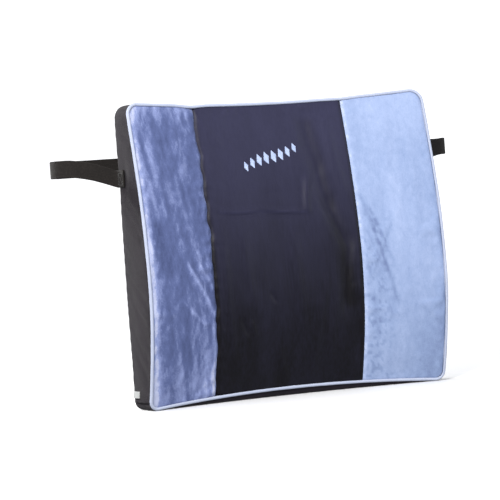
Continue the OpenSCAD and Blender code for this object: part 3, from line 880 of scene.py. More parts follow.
def with_strokes(nap_and_painted_light, x, z, marks):
    """A tone with strokes added along lines: brush marks on the velour, and painted highlight and shade along
    the satin's folds. A mark is from, to, width and change, and it fades at its ends.
    """
    for a, b, width, change in marks:
        length, along, off = beside(x, z, a, b)
        nap_and_painted_light = nap_and_painted_light + change * bump(off, width) * ramp(along, -6, 6) * (1 - ramp(along, length - 6, length + 6))
    return nap_and_painted_light


LEFT_MARKS = (
    ((-138, 166), (-102, 100), 2.4, 0.30), ((-126, 172), (-103, 130), 2.0, 0.20),
    ((-152, 330), (-146, 300), 8.0, -0.18), ((-168, 215), (-160, 150), 9.0, -0.20),
    ((-125, 250), (-118, 190), 10.0, -0.12), ((-150, 126), (-118, 92), 2.2, 0.22),
)
RIGHT_MARKS = (
    ((95, 230), (131, 96), 2.0, -0.30), ((104, 214), (126, 150), 1.6, -0.20),
    ((130, 196), (100, 132), 1.8, -0.20), ((98, 190), (116, 136), 1.6, -0.18),
    ((136, 250), (132, 110), 7.0, 0.14), ((100, 110), (108, 60), 4.0, -0.15),
)
# Painted highlight along the centre's crease and painted shade along its diagonal folds by the right seam.
CENTRE_FOLD_LIGHT_AND_SHADE = (
    ((-86, 219), (-30, 217), 1.5, 0.26), ((-30, 217), (25, 213), 1.5, 0.26),
    ((42, 322), (58, 214), 9.0, -0.22), ((58, 214), (76, 100), 9.0, -0.16),
)


def left_nap_and_painted_light(x, z, edge):
    """Left panel's tone: streaked pile, with painted highlight on the roll beside the outer piping and along
    the top edge.
    """
    lean = x + 0.16 * z
    nap_and_painted_light = 0.40 + 0.17 * flat_noise(lean, z, (5.0, 46.0), 20) + 0.15 * flat_noise(lean, z, (13.0, 70.0), 21)
    nap_and_painted_light += 0.12 * flat_noise(x - 0.3 * z, z, (3.0, 15.0), 22) + 0.07 * flat_noise(x, z, (1.6, 5.0), 23)
    # Painted highlight: the rolled edge beside the outer piping, and the cloth turning over the top edge, catch
    # the light.
    nap_and_painted_light += 0.56 * bump(x + HALF_W - 5, 5.5) + 0.22 * ramp(z, 318, 344) * bump(edge, 14)
    nap_and_painted_light += 0.24 * ramp(80 - z, 0, 60)
    nap_and_painted_light += 0.30 * bump(x - SEAM_LEFT_X + 4, 4.0) * ramp(130 - z, 0, 40)
    return with_strokes(nap_and_painted_light, x, z, LEFT_MARKS)


def right_nap_and_painted_light(x, z):
    """Right panel's tone: pale, with dark brush marks low down by the seam and a painted highlight on the cloth
    beside the seam.
    """
    nap_and_painted_light = 0.60 + 0.09 * flat_noise(x, z, (10.0, 60.0), 30) + 0.09 * flat_noise(x, z, (30.0, 70.0), 31)
    speckle = flat_noise(x, z, (3.4, 4.6), 32)
    low = ramp(245 - z, 0, 60) * bump(x - SEAM_RIGHT_X - 14, 26)
    nap_and_painted_light += 0.05 * speckle - 0.34 * low * ramp(speckle, 0.15, 0.6)
    nap_and_painted_light -= 0.28 * ramp(x, 128, 180) * ramp(150 - z, 0, 100)
    nap_and_painted_light -= 0.20 * bump(HALF_W - 3 - x, 5.0) * (0.5 + 0.5 * flat_noise(x, z, (6.0, 11.0), 33))
    nap_and_painted_light += 0.14 * ramp(z, 270, 345)
    # Painted highlight: the cloth beside the seam catches the light.
    nap_and_painted_light += 0.22 * bump(x - SEAM_RIGHT_X - 1.5, 2.6)
    return with_strokes(nap_and_painted_light, x, z, RIGHT_MARKS)


def centre_tone(x, z):
    """Tone of the centre panel, mostly painted light and shade: greyer at the top and nearly black at the foot,
    darker in its seams, lighter along its crease and darker along its diagonal folds.
    """
    # Painted light and shade: the upper part faces the light from above and the foot faces away from it.
    tone = 0.06 + 0.60 * ramp(z, 70, 335) + 0.06 * ramp(z, 20, 130)
    tone += 0.06 * flat_noise(x, z, (22.0, 70.0), 40) + 0.04 * flat_noise(x, z, (7.0, 26.0), 41)
    # Painted shade in the grooves of the two seams.
    tone -= 0.32 * ramp(x, SEAM_RIGHT_X - 5, SEAM_RIGHT_X - 1) + 0.34 * bump(x - SEAM_LEFT_X, 3.0)
    return with_strokes(tone, x, z, CENTRE_FOLD_LIGHT_AND_SHADE)


def make_front():
    """The three front panels, cut from one grid so that they meet at the seams."""
    grid, normals, uv, edge, (left, right) = front_surface()
    x, z = grid[..., 0], grid[..., 2]
    panels = (("front_panel_left", 0, left, "velour_grey", left_nap_and_painted_light(x, z, edge)),
              ("front_panel_centre", left, right, "satin_navy", centre_tone(x, z)),
              ("front_panel_right", right, grid.shape[1] - 1, "velour_blue", right_nap_and_painted_light(x, z)))
    for node, first, last, slot, nap_and_painted_light in panels:
        part = slice(first, last + 1)
        piece = cloth_shell(node + "_cloth", grid[:, part], normals[:, part])
        paint_both(piece, "nap_and_painted_light", np.clip(nap_and_painted_light[:, part], 0, 1))
        paint_both(piece, "cloth_uv", uv[:, part])
        finish_piece(piece, node, slot)
    return grid, normals


# ---------- piping ----------

def edge_line(inset, floor, rise, step=2.4):
    """The outline in two runs of (x, z): under the cushion, then up its right, over and down its left."""
    w, top = HALF_W - inset, CUSHION_H - inset
    flat = resample(np.array([[BOTTOM_R - w, floor], [w - BOTTOM_R, floor]]), step)
    flat[:, 1] += rise * bow(flat[:, 0], w - BOTTOM_R)
    base = chain(arc(BOTTOM_R - w, floor + BOTTOM_R, BOTTOM_R, 180, 270, 9), flat,
                 arc(w - BOTTOM_R, floor + BOTTOM_R, BOTTOM_R, 270, 360, 9))
    rows = int(round((CUSHION_H - BOTTOM_R - TOP_R) / step))
    high = resample(np.array([[w - TOP_R, top], [TOP_R - w, top]]), step)
    high[:, 1] -= top_drop(high[:, 0], w - TOP_R)
    upper = chain(line((w, floor + BOTTOM_R), (w, top - TOP_R), rows),
                  arc(w - TOP_R, top - TOP_R, TOP_R, 0, 90, 12),
                  high, arc(TOP_R - w, top - TOP_R, TOP_R, 90, 180, 12),
                  line((-w, top - TOP_R), (-w, floor + BOTTOM_R), rows))
    return base, upper


def piping_route():
    """The piping's middle line, closed, with a slight wander as sewn by hand."""
    base, upper = edge_line(PIPING_INSET, PATH_BASE, SEAM_RISE)
    flat = np.concatenate([base[:-1], upper[:-1]])
    path = np.stack([flat[:, 0], front_y(flat[:, 0], flat[:, 1]), flat[:, 1]], -1)
    path[:, 1] += noise3(path, 34.0, 50) * 0.35 + noise3(path, 13.0, 51) * 0.18
    return path


def make_piping():
    """The piping's sleeve, open where it is sewn in, and the cord inside it."""
    path = piping_route()
    frames = path_frames(path, (0, 1, 0), closed=True)
    # The side direction points to the cushion's middle, where the sleeve is open
    middle = np.array([0, 0, CUSHION_H / 2])
    turned = np.sign(np.einsum("ij,ij->i", frames[0], middle - path * [1, 0, 1]))[:, None]
    frames = (frames[0] * turned, np.broadcast_to([0.0, 1.0, 0.0], path.shape))
    slit, count = 26, 15
    outer = arc(0, 0, PIPING_R, slit, 360 - slit, count)
    inner = arc(0, 0, PIPING_R - 0.6, 360 - slit, slit, count)
    length = run_length(path)
    lumps = 1 + 0.035 * noise3(path, 9.0, 52) + 0.03 * noise3(path, 4.2, 53)
    sections = np.concatenate([outer, inner])[None] * lumps[:, None, None]
    points, faces = sweep(path, sections, frames, closed=True)
    sleeve = mesh_object("piping_sleeve", points, faces)
    fix_normals(sleeve)
    around = np.concatenate([np.radians(np.linspace(slit, 360 - slit, count + 1)) * PIPING_R] * 2)
    u, v = np.meshgrid(length, around, indexing="ij")
    bias = np.stack([(u + v) * 0.707, (u - v) * 0.707, 0 * u], -1)
    paint(sleeve, "cloth_uv", bias.reshape(-1, 3))
    finish_piece(sleeve, "front_piping", "piping")

    # The filler is three strands twisted together
    sides, turn_l, strand_r = 15, 9.0, PIPING_R - 0.85
    a = 2 * np.pi * np.arange(sides) / sides
    twist = 2 * np.pi * length / turn_l
    radius = strand_r * (0.86 + 0.14 * np.cos(3 * (a[None] - twist[:, None])))
    strands = np.stack([radius * np.cos(a), radius * np.sin(a)], -1)
    filler = mesh_object("piping_filler", *sweep(path, strands, frames, closed=True))
    fix_normals(filler)
    finish_piece(filler, "piping_cord", "cord_filler")


# ---------- bands round the edge ----------

def band_surface(seam, outline, upper):
    """The band as a grid: one column at each place round the edge, from the piping to the back."""
    n = len(seam)
    along = unit(np.gradient(outline, axis=0))
    out = np.stack([along[:, 1], -along[:, 0]], -1)
    gap = outline - seam
    front = front_y(outline[:, 0], outline[:, 1])

    def at(share, y, inward=0.0):
        """Places that are a share of the way from the seam to the outline."""
        flat = seam + gap * share - out * inward
        return np.stack([flat[:, 0], np.broadcast_to(y, n), flat[:, 1]], -1)

    def face(share):
        """Where the front is at that share."""
        flat = seam + gap * share
        return front_y(flat[:, 0], flat[:, 1])

    deep = np.linalg.norm(gap, axis=1)
    lip = 1.2 + 0.12 * deep
    controls = np.array([at(0.0, face(0) + 1.4), at(0.45, face(0.45) + 0.8), at(0.85, face(0.85) + lip),
                         at(1.0, front + 2.4 + lip), at(1.0, front * 0.6 + BACK_Y * 0.4),
                         at(1.0, BACK_Y - 3.4), at(1.0, BACK_Y - 1.0, 1.0), at(1.0, BACK_Y - 0.15, 2.6),
                         at(1.0, BACK_Y - 0.9, 4.4)])
    curve = smooth_line(controls, 8)
    rows = 30
    grid = np.stack([resample(curve[:, i], count=rows) for i in range(n)], 1)

    s = np.broadcast_to(run_length(outline), (rows, n))
    depth = np.r_[np.zeros((1, n)), np.cumsum(np.linalg.norm(np.diff(grid, axis=0), axis=2), 0)]
    total = depth[-1]
    from_front, from_back = depth, total - depth
    outward = np.zeros_like(grid)
    outward[..., 0], outward[..., 2] = out[:, 0], out[:, 1]
    swell = 1.5 if upper else 0.0
    height = swell * np.maximum(np.sin(np.pi * depth / total), 0) ** 0.8
    height += 0.42 * pucker(s, 10.5, 0.6 * noise3(grid, 24.0, 60), from_front, 7, (1.0, 4.0), 2)
    height += 0.34 * pucker(s, 13.0, 0.6 * noise3(grid, 30.0, 61), from_back, 8, (1.5, 6.0), 3)
    slant = noise3(np.stack([s / 9 + depth / 14, depth / 30, 0 * s], -1), 1.0, 62)
    calm = 1 - 0.8 * ramp(grid[..., 2], CUSHION_H - 20, CUSHION_H - 8)
    height *= calm
    height += 0.55 * calm * slant * ramp(from_front, 2, 10) * ramp(from_back, 3, 10)
    height += 0.5 * calm * noise3(grid, 46.0, 63) * ramp(from_front, 2, 12) * ramp(from_back, 3, 12)
    # The strap's ends, sewn on at the sides, hold the band flat
    at_side = np.abs(grid[..., 0]) > PATH_W - 4
    held = bump(grid[..., 2] - STRAP_Z, 22) * ramp(grid[..., 1], -24, -6) * at_side
    height = np.where(held > 0.02, height * (1 - held) - 0.35 * held, height)
    # The base stays flat, because the cushion stands on it
    lift = 1.0 if upper else np.where(outline[:, 1] < BOTTOM_R, 0.0, 1.0)
    grid = grid + outward * (height * lift)[..., None]
    grid[..., 2] = np.maximum(grid[..., 2], 0.0)
    return grid, np.stack([s, depth, 0 * s], -1)


def make_bands():
    """The base band and the boxing band round the other three sides."""
    seams = edge_line(PIPING_INSET, PATH_BASE, SEAM_RISE)
    outlines = edge_line(0.0, 0.0, 0.0)
    for node, seam, outline in zip(("base_band", "boxing_band"), seams, outlines):
        if len(seam) != len(outline):
            seam = resample(seam, count=len(outline))
        grid, uv = band_surface(seam, outline, node == "boxing_band")
        normals = grid_normals(grid)
        middle = grid[len(grid) // 2, grid.shape[1] // 2]
        facing = normals[len(grid) // 2, grid.shape[1] // 2]
        if facing @ (middle - np.array([0, middle[1], CUSHION_H / 2])) < 0:
            normals = -normals
        piece = cloth_shell(node + "_cloth", grid, normals)
        paint_both(piece, "cloth_uv", uv)
        finish_piece(piece, node, "band_cloth")


# ---------- the back ----------

# From the zip's middle to each hem, and from the outline to where the back is sewn in
HEM_GAP = 8.0
BACK_INSET = 3.6
STITCH_FROM_HEM = 3.2
BACK_FOLDS = [
    ((-140, 300), (-60, 180), 7.0, 1.0, True), ((40, 310), (120, 150), 8.0, 1.0, False),
    ((150, 240), (90, 110), 6.0, 0.8, True), ((-30, 200), (20, 100), 7.0, 0.7, False),
    ((-150, 40), (-90, 22), 4.0, 0.6, False), ((60, 44), (130, 20), 4.0, 0.6, True),
]


def back_surface(low, high, low_arc, high_arc, hem_low):
    """One back panel as a grid: nearly flat, round at its sewn edge and folded under by the zip."""
    across = spaced([-(HALF_W - BACK_INSET), HALF_W - BACK_INSET], 3.2, 0.9, 9)
    up = rows_between(low, high, 3.0, low_arc, high_arc)
    hem = low if hem_low else high
    near = np.array([0.0, 0.35, 0.8, 1.4, 2.2, 3.2, 4.4, 6.0])
    near = hem + near if hem_low else (hem - near)[::-1]
    keep = np.abs(up - hem) > 7.0
    up = np.concatenate([near, up[keep]] if hem_low else [up[keep], near])
    x, z = cover_grid(across, up, BACK_INSET, BACK_INSET, 0.0)
    edge = edge_distance(x, z, BACK_INSET, BACK_INSET, 0.0)
    from_hem = np.abs(np.broadcast_to(up[:, None], x.shape) - hem)
    # The two hems close up past the zip's ends
    past_zip = ramp(np.abs(x), ZIP_HIGH[0] + 2, ZIP_HIGH[0] + 16)
    closed = (HEM_GAP - 0.7) * past_zip * (1 - ramp(from_hem, 0, 34))
    z = z - closed if hem_low else z + closed
    grid = np.stack([x, np.full_like(x, BACK_Y), z], -1)
    height = 1.5 * ramp(np.minimum(edge, from_hem), 0, 60)
    height += -1.5 * np.exp(-edge / 1.8) - 0.5 * np.exp(-edge / 6)
    run = np.where(PATH_W - np.abs(x) < edge + 4, z, x)
    height += 0.38 * pucker(run, 12.0, 0.6 * noise3(grid, 26.0, 70), edge, 7, (0.5, 4))
    height += 0.30 * pucker(x, 15.0, 0.7 * noise3(grid, 30.0, 71), from_hem, 8, (1.5, 5), 4)
    height += 0.9 * flat_noise(x, z, (75.0, 48.0), 72) * ramp(edge, 4, 30) * ramp(from_hem, 4, 26)
    height += 0.35 * flat_noise(x, z, (24.0, 15.0), 73) * ramp(edge, 3, 14) * ramp(from_hem, 4, 12)
    height += 1.5 * fold_height(x, z, BACK_FOLDS) * ramp(edge, 3, 16) * ramp(from_hem, 4, 14)
    # The folded hem: a doubled edge with a stitched groove behind it
    height += 0.55 * (1 - ramp(from_hem, 5.0, 7.0)) - 0.5 * bump(from_hem - STITCH_FROM_HEM, 0.8)
    height -= 1.25 * (1 - np.sqrt(np.clip(from_hem / 1.4, 0, 1)))
    grid[..., 1] += height
    return grid, np.stack([x, z, 0 * x], -1)


def make_back():
    """Both back panels with their hem stitches, and the strip behind the zip."""
    panels = (("back_panel_upper", ZIP_Z + HEM_GAP, CUSHION_H - BACK_INSET, False, True, True),
              ("back_panel_lower", BACK_INSET, ZIP_Z - HEM_GAP, True, False, False))
    for node, low, high, low_arc, high_arc, hem_low in panels:
        grid, uv = back_surface(low, high, low_arc, high_arc, hem_low)
        normals = grid_normals(grid)
        if normals[3, 5, 1] < 0:
            normals = -normals
        piece = cloth_shell(node + "_cloth", grid, normals, 1.0)
        paint_both(piece, "cloth_uv", uv)
        finish_piece(piece, node, "band_cloth")
        stitch_hem(piece, grid, hem_low)
    zip_guard()


def zip_guard():
    """The strip of cover cloth sewn behind the zip, which keeps the foam from its teeth."""
    half_l, low, high, inwards = HALF_W - 12, ZIP_Z - 11, ZIP_Z + 10, 4.0
    x, z = np.meshgrid(np.linspace(-half_l, half_l, 90), np.linspace(low, high, 8))
    grid = np.stack([x, np.full_like(x, BACK_Y - inwards) + 0.2 * flat_noise(x, z, 21.0, 74), z], -1)
    strip = cloth_shell("zip_guard", grid, np.broadcast_to([0.0, 1.0, 0.0], grid.shape), 0.8)
    paint_both(strip, "cloth_uv", np.stack([x, z, 0 * x], -1))
    finish_piece(strip, None, "band_cloth")


def stitch_hem(panel, grid, hem_low):
    """The row of stitches that holds a back panel's hem to the zip's tape. It goes with the panel."""
    row = grid[:, :, 2].mean(1)
    hem = row[0] if hem_low else row[-1]
    k = int(np.argmin(np.abs(np.abs(row - hem) - STITCH_FROM_HEM)))
    route = resample(grid[k, 6:-6], step=0.8)
    stitches = Gather()
    for i in range(0, len(route) - 4, 5):
        piece = route[i:i + 4].copy()
        piece[:, 1] += np.array([0.0, 0.32, 0.32, 0.0])
        stitches.thread(smooth_line(piece, 2), 0.27, (0, 1, 0))
    finish_piece(stitches.build(panel.name.replace("_cloth", "_hem_stitches")), None, "thread")


# ---------- foam ----------

def make_foam():
    """The foam block inside: it follows the front, with a groove behind the zip."""
    inset, back = 3.2, BACK_Y - 2.0
    under_cover, edge_room, groove_w, groove_deep = 7.0, 2.0, 14.0, 6.5
    across = np.linspace(-(HALF_W - inset), HALF_W - inset, 64)
    up = rows_between(inset, CUSHION_H - inset, 5.5)
    x, z = cover_grid(across, up, inset, inset, 0.0)
    inside = edge_distance(x, z, inset, inset, 0.0)
    y = front_y(x, z) + under_cover + edge_room * np.exp(-inside / 4) + 0.25 * flat_noise(x, z, 9.0, 80)
    face = np.stack([x, y, z], -1)
    groove = bump(z - ZIP_Z, groove_w) * groove_deep
    rear = np.stack([x, back - groove - 1.6 * np.exp(-inside / 3), z], -1)
    rows, cols = x.shape
    points = [face.reshape(-1, 3), rear.reshape(-1, 3)]
    count, levels = rows * cols, 7
    faces = quads(rows, cols) + quads(rows, cols, start=count, flip=True)
    ids = rim(rows, cols)
    loops = [ids]
    for k in range(1, levels):
        start = 2 * count + (k - 1) * len(ids)
        points.append(points[0][ids] * (1 - k / levels) + points[1][ids] * k / levels)
        loops.append(list(range(start, start + len(ids))))
    loops.append([i + count for i in ids])
    for a, b in zip(loops, loops[1:]):
        faces += [(p, q, s, r) for p, q, r, s in zip(a, a[1:] + a[:1], b, b[1:] + b[:1])]
    foam = mesh_object("foam_block", np.concatenate(points), faces)
    fix_normals(foam)
    finish_piece(foam, "foam_core", "foam")


# ---------- zip ----------

def make_tapes():
    """Knitted tapes with a corded edge by the teeth and ridges along them."""
    for side, node in ((1, "zip_tape_upper"), (-1, "zip_tape_lower")):
        low, high = cad_box(node)
        inner, outer = (low[2], high[2]) if side > 0 else (high[2], low[2])
        across = np.linspace(low[0] + 6, high[0] - 6, 190)
        t = np.linspace(0, 1, 27)
        reach = np.abs(outer - inner) * t
        x, zz = np.meshgrid(across, inner + (outer - inner) * t)
        past = ramp(np.abs(x), ZIP_HIGH[0] + 3, ZIP_HIGH[0] + 8)
        zz -= (inner - ZIP_Z - 0.1 * side) * past * (1 - t[:, None])
        y = np.full_like(x, high[1]) + 0.10 * np.sin(2 * np.pi * reach / 1.5)[:, None]
        y += 0.45 * bump(reach - 0.7, 0.7)[:, None]
        y += 0.10 * flat_noise(x, zz, 20.0, 90)
        grid = np.stack([x, y, zz], -1)
        normals = np.broadcast_to([0.0, 1.0, 0.0], grid.shape)
        tape = cloth_shell(node + "_knit", grid, normals, 0.7)
        paint_both(tape, "cloth_uv", np.stack([x, zz, 0 * x], -1))
        finish_piece(tape, node, "zip_tape")


def make_coils():
    """Two coils of flattened turns, half a turn apart, so that they hook into each other."""
    wire_r, per_turn, sides = 0.30, 12, 5
    # The slider's travel, the coil's length less its own 14 mm, is a whole number of turns
    slider_l, turns_in_travel = 14, 179
    pitch = (ZIP_HIGH[0] - ZIP_LOW[0] - slider_l) / turns_in_travel
    reach_z, reach_y, centre_z = 1.62, 0.98, 1.48
    turns = int((ZIP_HIGH[0] - ZIP_LOW[0] - 2) / pitch)
    for side, node in ((1, "zip_coil_upper"), (-1, "zip_coil_lower")):
        t = np.arange(turns * per_turn + 1) / per_turn
        angle = 2 * np.pi * t
        x = ZIP_LOW[0] + 1 + pitch * (t + (0.5 if side > 0 else 0))
        hook = np.cos(angle)
        path = np.stack([x, COIL_Y + reach_y * np.sin(angle), ZIP_Z + side * (centre_z + reach_z * hook)], -1)
        wire = sweep(path, round_section(wire_r, sides), path_frames(path, (1, 0, 0)))
        coil = mesh_object(node + "_turns", *wire)
        fix_normals(coil)
        finish_piece(coil, node, "zip_coil")


def softened(node, slot, body, bevel):
    """A CAD piece with its edges rounded by a bevel in millimetres, as cast or moulded."""
    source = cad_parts[node]
    bm = bmesh.new()
    bm.from_mesh(source.data)
    bmesh.ops.remove_doubles(bm, verts=bm.verts, dist=1e-6)
    bmesh.ops.dissolve_limit(bm, angle_limit=math.radians(2), verts=bm.verts, edges=bm.edges)
    mesh = bpy.data.meshes.new(node + "_cast")
    bm.to_mesh(mesh)
    bm.free()
    obj = bpy.data.objects.new(mesh.name, mesh)
    bpy.context.scene.collection.objects.link(obj)
    edges = obj.modifiers.new("edges", "BEVEL")
    edges.width = bevel * MM
    edges.segments = 3
    edges.limit_method = "ANGLE"
    edges.angle_limit = math.radians(28)
    edges.harden_normals = False
    edges.use_clamp_overlap = True
    applied = obj.evaluated_get(bpy.context.evaluated_depsgraph_get())
    obj.data = bpy.data.meshes.new_from_object(applied)
    obj.modifiers.clear()
    obj.data.name = mesh.name + "_soft"
    obj.data.shade_smooth()
    obj.data.set_sharp_from_angle(angle=math.radians(40))
    return finish_piece(obj, node, slot, body)


# ---------- strap ----------

def strap_side(run_y):
    """The strap's middle line in plan on the +X side, from its sewn end to behind the chair."""
    tab_x = HALF_W + STRAP_T / 2 + 0.1
    lean = np.array([tab_x + TAB_BEND_R * (1 - math.sin(STRAP_LEAN)),
                     BACK_Y - 1 + TAB_BEND_R * math.cos(STRAP_LEAN)])
    slope = math.tan(STRAP_LEAN)
    r = ((run_y - lean[1] - (STRAP_REACH - lean[0]) * slope)
         / (1 + math.cos(STRAP_LEAN) + (math.sin(STRAP_LEAN) - 1) * slope))
    lean_deg = math.degrees(STRAP_LEAN)
    bend = (STRAP_REACH - r + r * math.sin(STRAP_LEAN), run_y - r - r * math.cos(STRAP_LEAN))
    return chain(line((tab_x, BACK_Y - 1 - TAB_L), (tab_x, BACK_Y - 1), 6),
                 arc(tab_x + TAB_BEND_R, BACK_Y - 1, TAB_BEND_R, 180, 90 + lean_deg, 6),
                 line(lean, bend, 8),
                 arc(STRAP_REACH - r, run_y - r, r, lean_deg - 90, 90, 30))


def strap_height(x):
    """The height of the strap's middle, which climbs from where it is sewn on to the chair's back."""
    climb_run = STRAP_REACH - HALF_W - 4
    return STRAP_Z + STRAP_CLIMB * np.sin(np.pi / 2 * np.clip((np.abs(x) - HALF_W) / climb_run, 0, 1))


def make_strap(node, plan, mirrored):
    """Ribbed elastic along a line in plan, with rounded selvedges and a slight waver."""
    plan = resample(plan, step=2.2)
    if mirrored:
        plan = plan * [-1, 1]
    round_side = np.maximum.accumulate(np.abs(plan[:, 0]) >= STRAP_REACH - 1.0)
    z = np.where(round_side, STRAP_HIGH, strap_height(plan[:, 0]))
    length = run_length(plan)
    path = np.stack([plan[:, 0], plan[:, 1], z], -1)
    along = unit(np.gradient(plan, axis=0))
    side = np.stack([along[:, 1], -along[:, 0], 0 * z], -1)
    top = np.broadcast_to([0.0, 0.0, 1.0], path.shape)
    half, rib, t = STRAP_W / 2, 1.25, STRAP_T / 2
    v = np.linspace(-half, half, 49)
    round_off = np.sqrt(np.clip(1 - (np.maximum(np.abs(v) - (half - 0.8), 0) / 0.8) ** 2, 0.02, 1))
    thick = (t - 0.14 * (1 - np.abs(np.sin(np.pi * (v + half) / rib)) ** 0.6)) * round_off
    section = np.concatenate([np.stack([thick, v], -1), np.stack([-thick, v], -1)[::-1]])
    waver = 1 + 0.012 * noise3(np.stack([length / 6, 0 * length, 0 * length], -1), 1.0, 100)
    sections = section[None] * np.stack([np.ones_like(waver), waver], -1)[:, None]
    strap = mesh_object(node + "_elastic", *sweep(path, sections, (side, top)))
    fix_normals(strap)
    both = np.concatenate([v, v[::-1]])
    uu, vv = np.meshgrid(length, both, indexing="ij")
    paint(strap, "cloth_uv", np.stack([uu, vv, 0 * uu], -1).reshape(-1, 3))
    return finish_piece(strap, node, "elastic")


def make_straps():
    """The left strap, folded round the socket's bar, and the right one with its tail past the plug's bar."""
    bar_y = OUTER_RUN_Y - STRAP_T / 2 - 0.1 - 1.6
    inner_run_y = 2 * bar_y - OUTER_RUN_Y
    left_bar, fold_end = -FEMALE_BAR_X, -FOLD_END_X
    plan = strap_side(OUTER_RUN_Y)
    lap_y = OUTER_RUN_Y - STRAP_T - 0.1
    left = chain(plan, line(plan[-1], (left_bar, OUTER_RUN_Y), 60),
                 arc(left_bar, bar_y, BAR_BEND_R, 90, 270, 14),
                 line((left_bar, inner_run_y), (left_bar + 12, lap_y), 5),
                 line((left_bar + 12, lap_y), (fold_end, lap_y), 8))
    make_strap("strap_left", left, True)
    plan = strap_side(inner_run_y)
    lap_y = inner_run_y + STRAP_T + 0.1
    right = chain(plan, line(plan[-1], (MALE_BAR_X, inner_run_y), 80),
                  arc(MALE_BAR_X, bar_y, BAR_BEND_R, 270, 90, 14),
                  line((MALE_BAR_X, OUTER_RUN_Y), (MALE_BAR_X + 14, lap_y), 5),
                  line((MALE_BAR_X + 14, lap_y), (TAIL_END_X, lap_y), 40))
    make_strap("strap_right", right, False)


def box_stitch(node, place_at, width, height, normal):
    """Rows of thread round a square and across its corners, on a strap's face."""
    w, h = width / 2, height / 2
    corners = [(-w, -h), (w, -h), (w, h), (-w, h)]
    runs = [*zip(corners, corners[1:] + corners[:1]), (corners[0], corners[2]), (corners[1], corners[3])]
    stitches = Gather()
    for a, b in runs:
        length = math.dist(a, b)
        count = max(3, int(length / 2.3))
        for i in range(count):
            t = (i + np.array([0.12, 0.35, 0.65, 0.88])) / count
            flat = [(a[0] + (b[0] - a[0]) * s, a[1] + (b[1] - a[1]) * s) for s in t]
            lift = [0.0, 0.22, 0.22, 0.0]
            path = smooth_line(np.array([place_at(p, q) for p, q in zip(flat, lift)]), 2)
            stitches.thread(path, 0.26, normal)
    finish_piece(stitches.build(node + "_threads"), node, "thread")


def make_stitches():
    """The box stitches at the strap's two ends and at its fold."""
    margin, sunk = 0.6, 0.02
    for side, node in ((-1, "anchor_stitch_left"), (1, "anchor_stitch_right")):
        low, high = cad_box(node)
        face = low[0] if side > 0 else high[0]
        y, z = (low[1] + high[1]) / 2, (low[2] + high[2]) / 2
        box_stitch(node, lambda p, lift: (face + side * (lift - sunk), y + p[0], z + p[1]),
                   high[1] - low[1] - margin, high[2] - low[2] - margin, (side, 0, 0))
    low, high = cad_box("fold_stitch")
    x, z = (low[0] + high[0]) / 2, (low[2] + high[2]) / 2
    box_stitch("fold_stitch", lambda p, lift: (x + p[0], low[1] + lift - sunk, z + p[1]),
               high[0] - low[0] - margin, high[2] - low[2] - margin, (0, 1, 0))


# ---------- emblem and tag ----------

def make_emblem(front, normals):
    """A row of lozenges in satin stitch that sways like a spine."""
    count, pitch, sway, tilt = 8, 9.6, 1.6, math.radians(16)
    centre = np.array([-12.0, 280.0])
    half_w, half_h, thread_gap, thread_r = 4.0, 7.4, 0.62, 0.36
    near = front[:, :, [0, 2]].reshape(-1, 2)
    surface = front.reshape(-1, 3)
    outward = normals.reshape(-1, 3)

    def on_cloth(p, lift):
        """A place on the front, from the four grid points nearest to it."""
        d = np.hypot(*(near - p).T)
        ids = np.argsort(d)[:4]
        w = 1 / np.maximum(d[ids], 0.05)
        w /= w.sum()
        base = (surface[ids] * w[:, None]).sum(0)
        out = (outward[ids] * w[:, None]).sum(0)
        return np.array([p[0], base[1], p[1]]) + out * lift

    turn = np.array([[math.cos(tilt), -math.sin(tilt)], [math.sin(tilt), math.cos(tilt)]])
    stitches = Gather()
    for i in range(count):
        grow = 0.75 + 0.25 * math.sin(math.pi * i / (count - 1))
        middle = np.array([(i - (count - 1) / 2) * pitch, sway * math.sin(2 * math.pi * i / (count - 1))])
        rows = np.arange(-half_h * grow + 0.35, half_h * grow, thread_gap)
        for k, v in enumerate(rows):
            reach = half_w * grow * (1 - abs(v) / (half_h * grow)) + 0.28
            slant = 0.28 * reach * (1 if k % 2 else 0.9)
            ends = [(-reach, v - slant), (-reach * 0.45, v - slant * 0.4),
                    (reach * 0.45, v + slant * 0.4), (reach, v + slant)]
            lifts = [0.02, 0.42, 0.42, 0.02]
            route = [on_cloth(centre + turn @ (middle + np.array(p)), lift) for p, lift in zip(ends, lifts)]
            stitches.thread(smooth_line(np.array(route), 3), thread_r, (0, -1, 0), sides=7)
    finish_piece(stitches.build("emblem_satin_stitch"), "emblem", "emblem_thread")


def make_tag():
    """A blank ribbon folded in two, sewn into the left band low at the back."""
    low, high = cad_box("care_label")
    face_x = high[0]
    width, drop = high[1] - low[1], high[2] - low[2]
    loop = chain(line((0.1, drop), (0.25, 1.6), 8), arc(0.62, 1.6, 0.37, 180, 360, 8),
                 line((0.99, 1.6), (0.7, drop), 8))
    t = np.linspace(0, 1, 15)
    rows = []
    for s in t:
        curl = 0.5 * np.sin(np.pi * s * 1.1) + 0.35 * s
        out = loop[:, 0] * (1 + 0.25 * math.sin(5 * s)) + curl * (1 - loop[:, 1] / drop) * 1.1
        # It hangs clear of the band's swell
        out = out + 1.2 + 0.9 * (1 - loop[:, 1] / drop)
        rows.append(np.stack([face_x - out, np.full(len(loop), low[1] + width * s), low[2] + loop[:, 1]], -1))
    grid = np.array(rows)
    tag = cloth_shell("blank_tag", grid, grid_normals(grid), 0.22)
    uu, vv = np.meshgrid(t * width, run_length(loop), indexing="ij")
    paint_both(tag, "cloth_uv", np.stack([uu, vv, 0 * uu], -1))
    finish_piece(tag, "care_label", "label_ribbon")


# ---------- stage ----------

# The viewpoint: turned to the object's left, nearly level, and rolled a little
VIEW_YAW, VIEW_RISE, VIEW_ROLL = math.radians(25.07), math.radians(0.97), math.radians(-4.11)
VIEW_DISTANCE = 2840
LOOKED_AT = np.array([0, -6, 175.0])
AIM_RIGHT, AIM_UP = -36.8, -4.4
LENS = 174
FLOOR_R = 4600


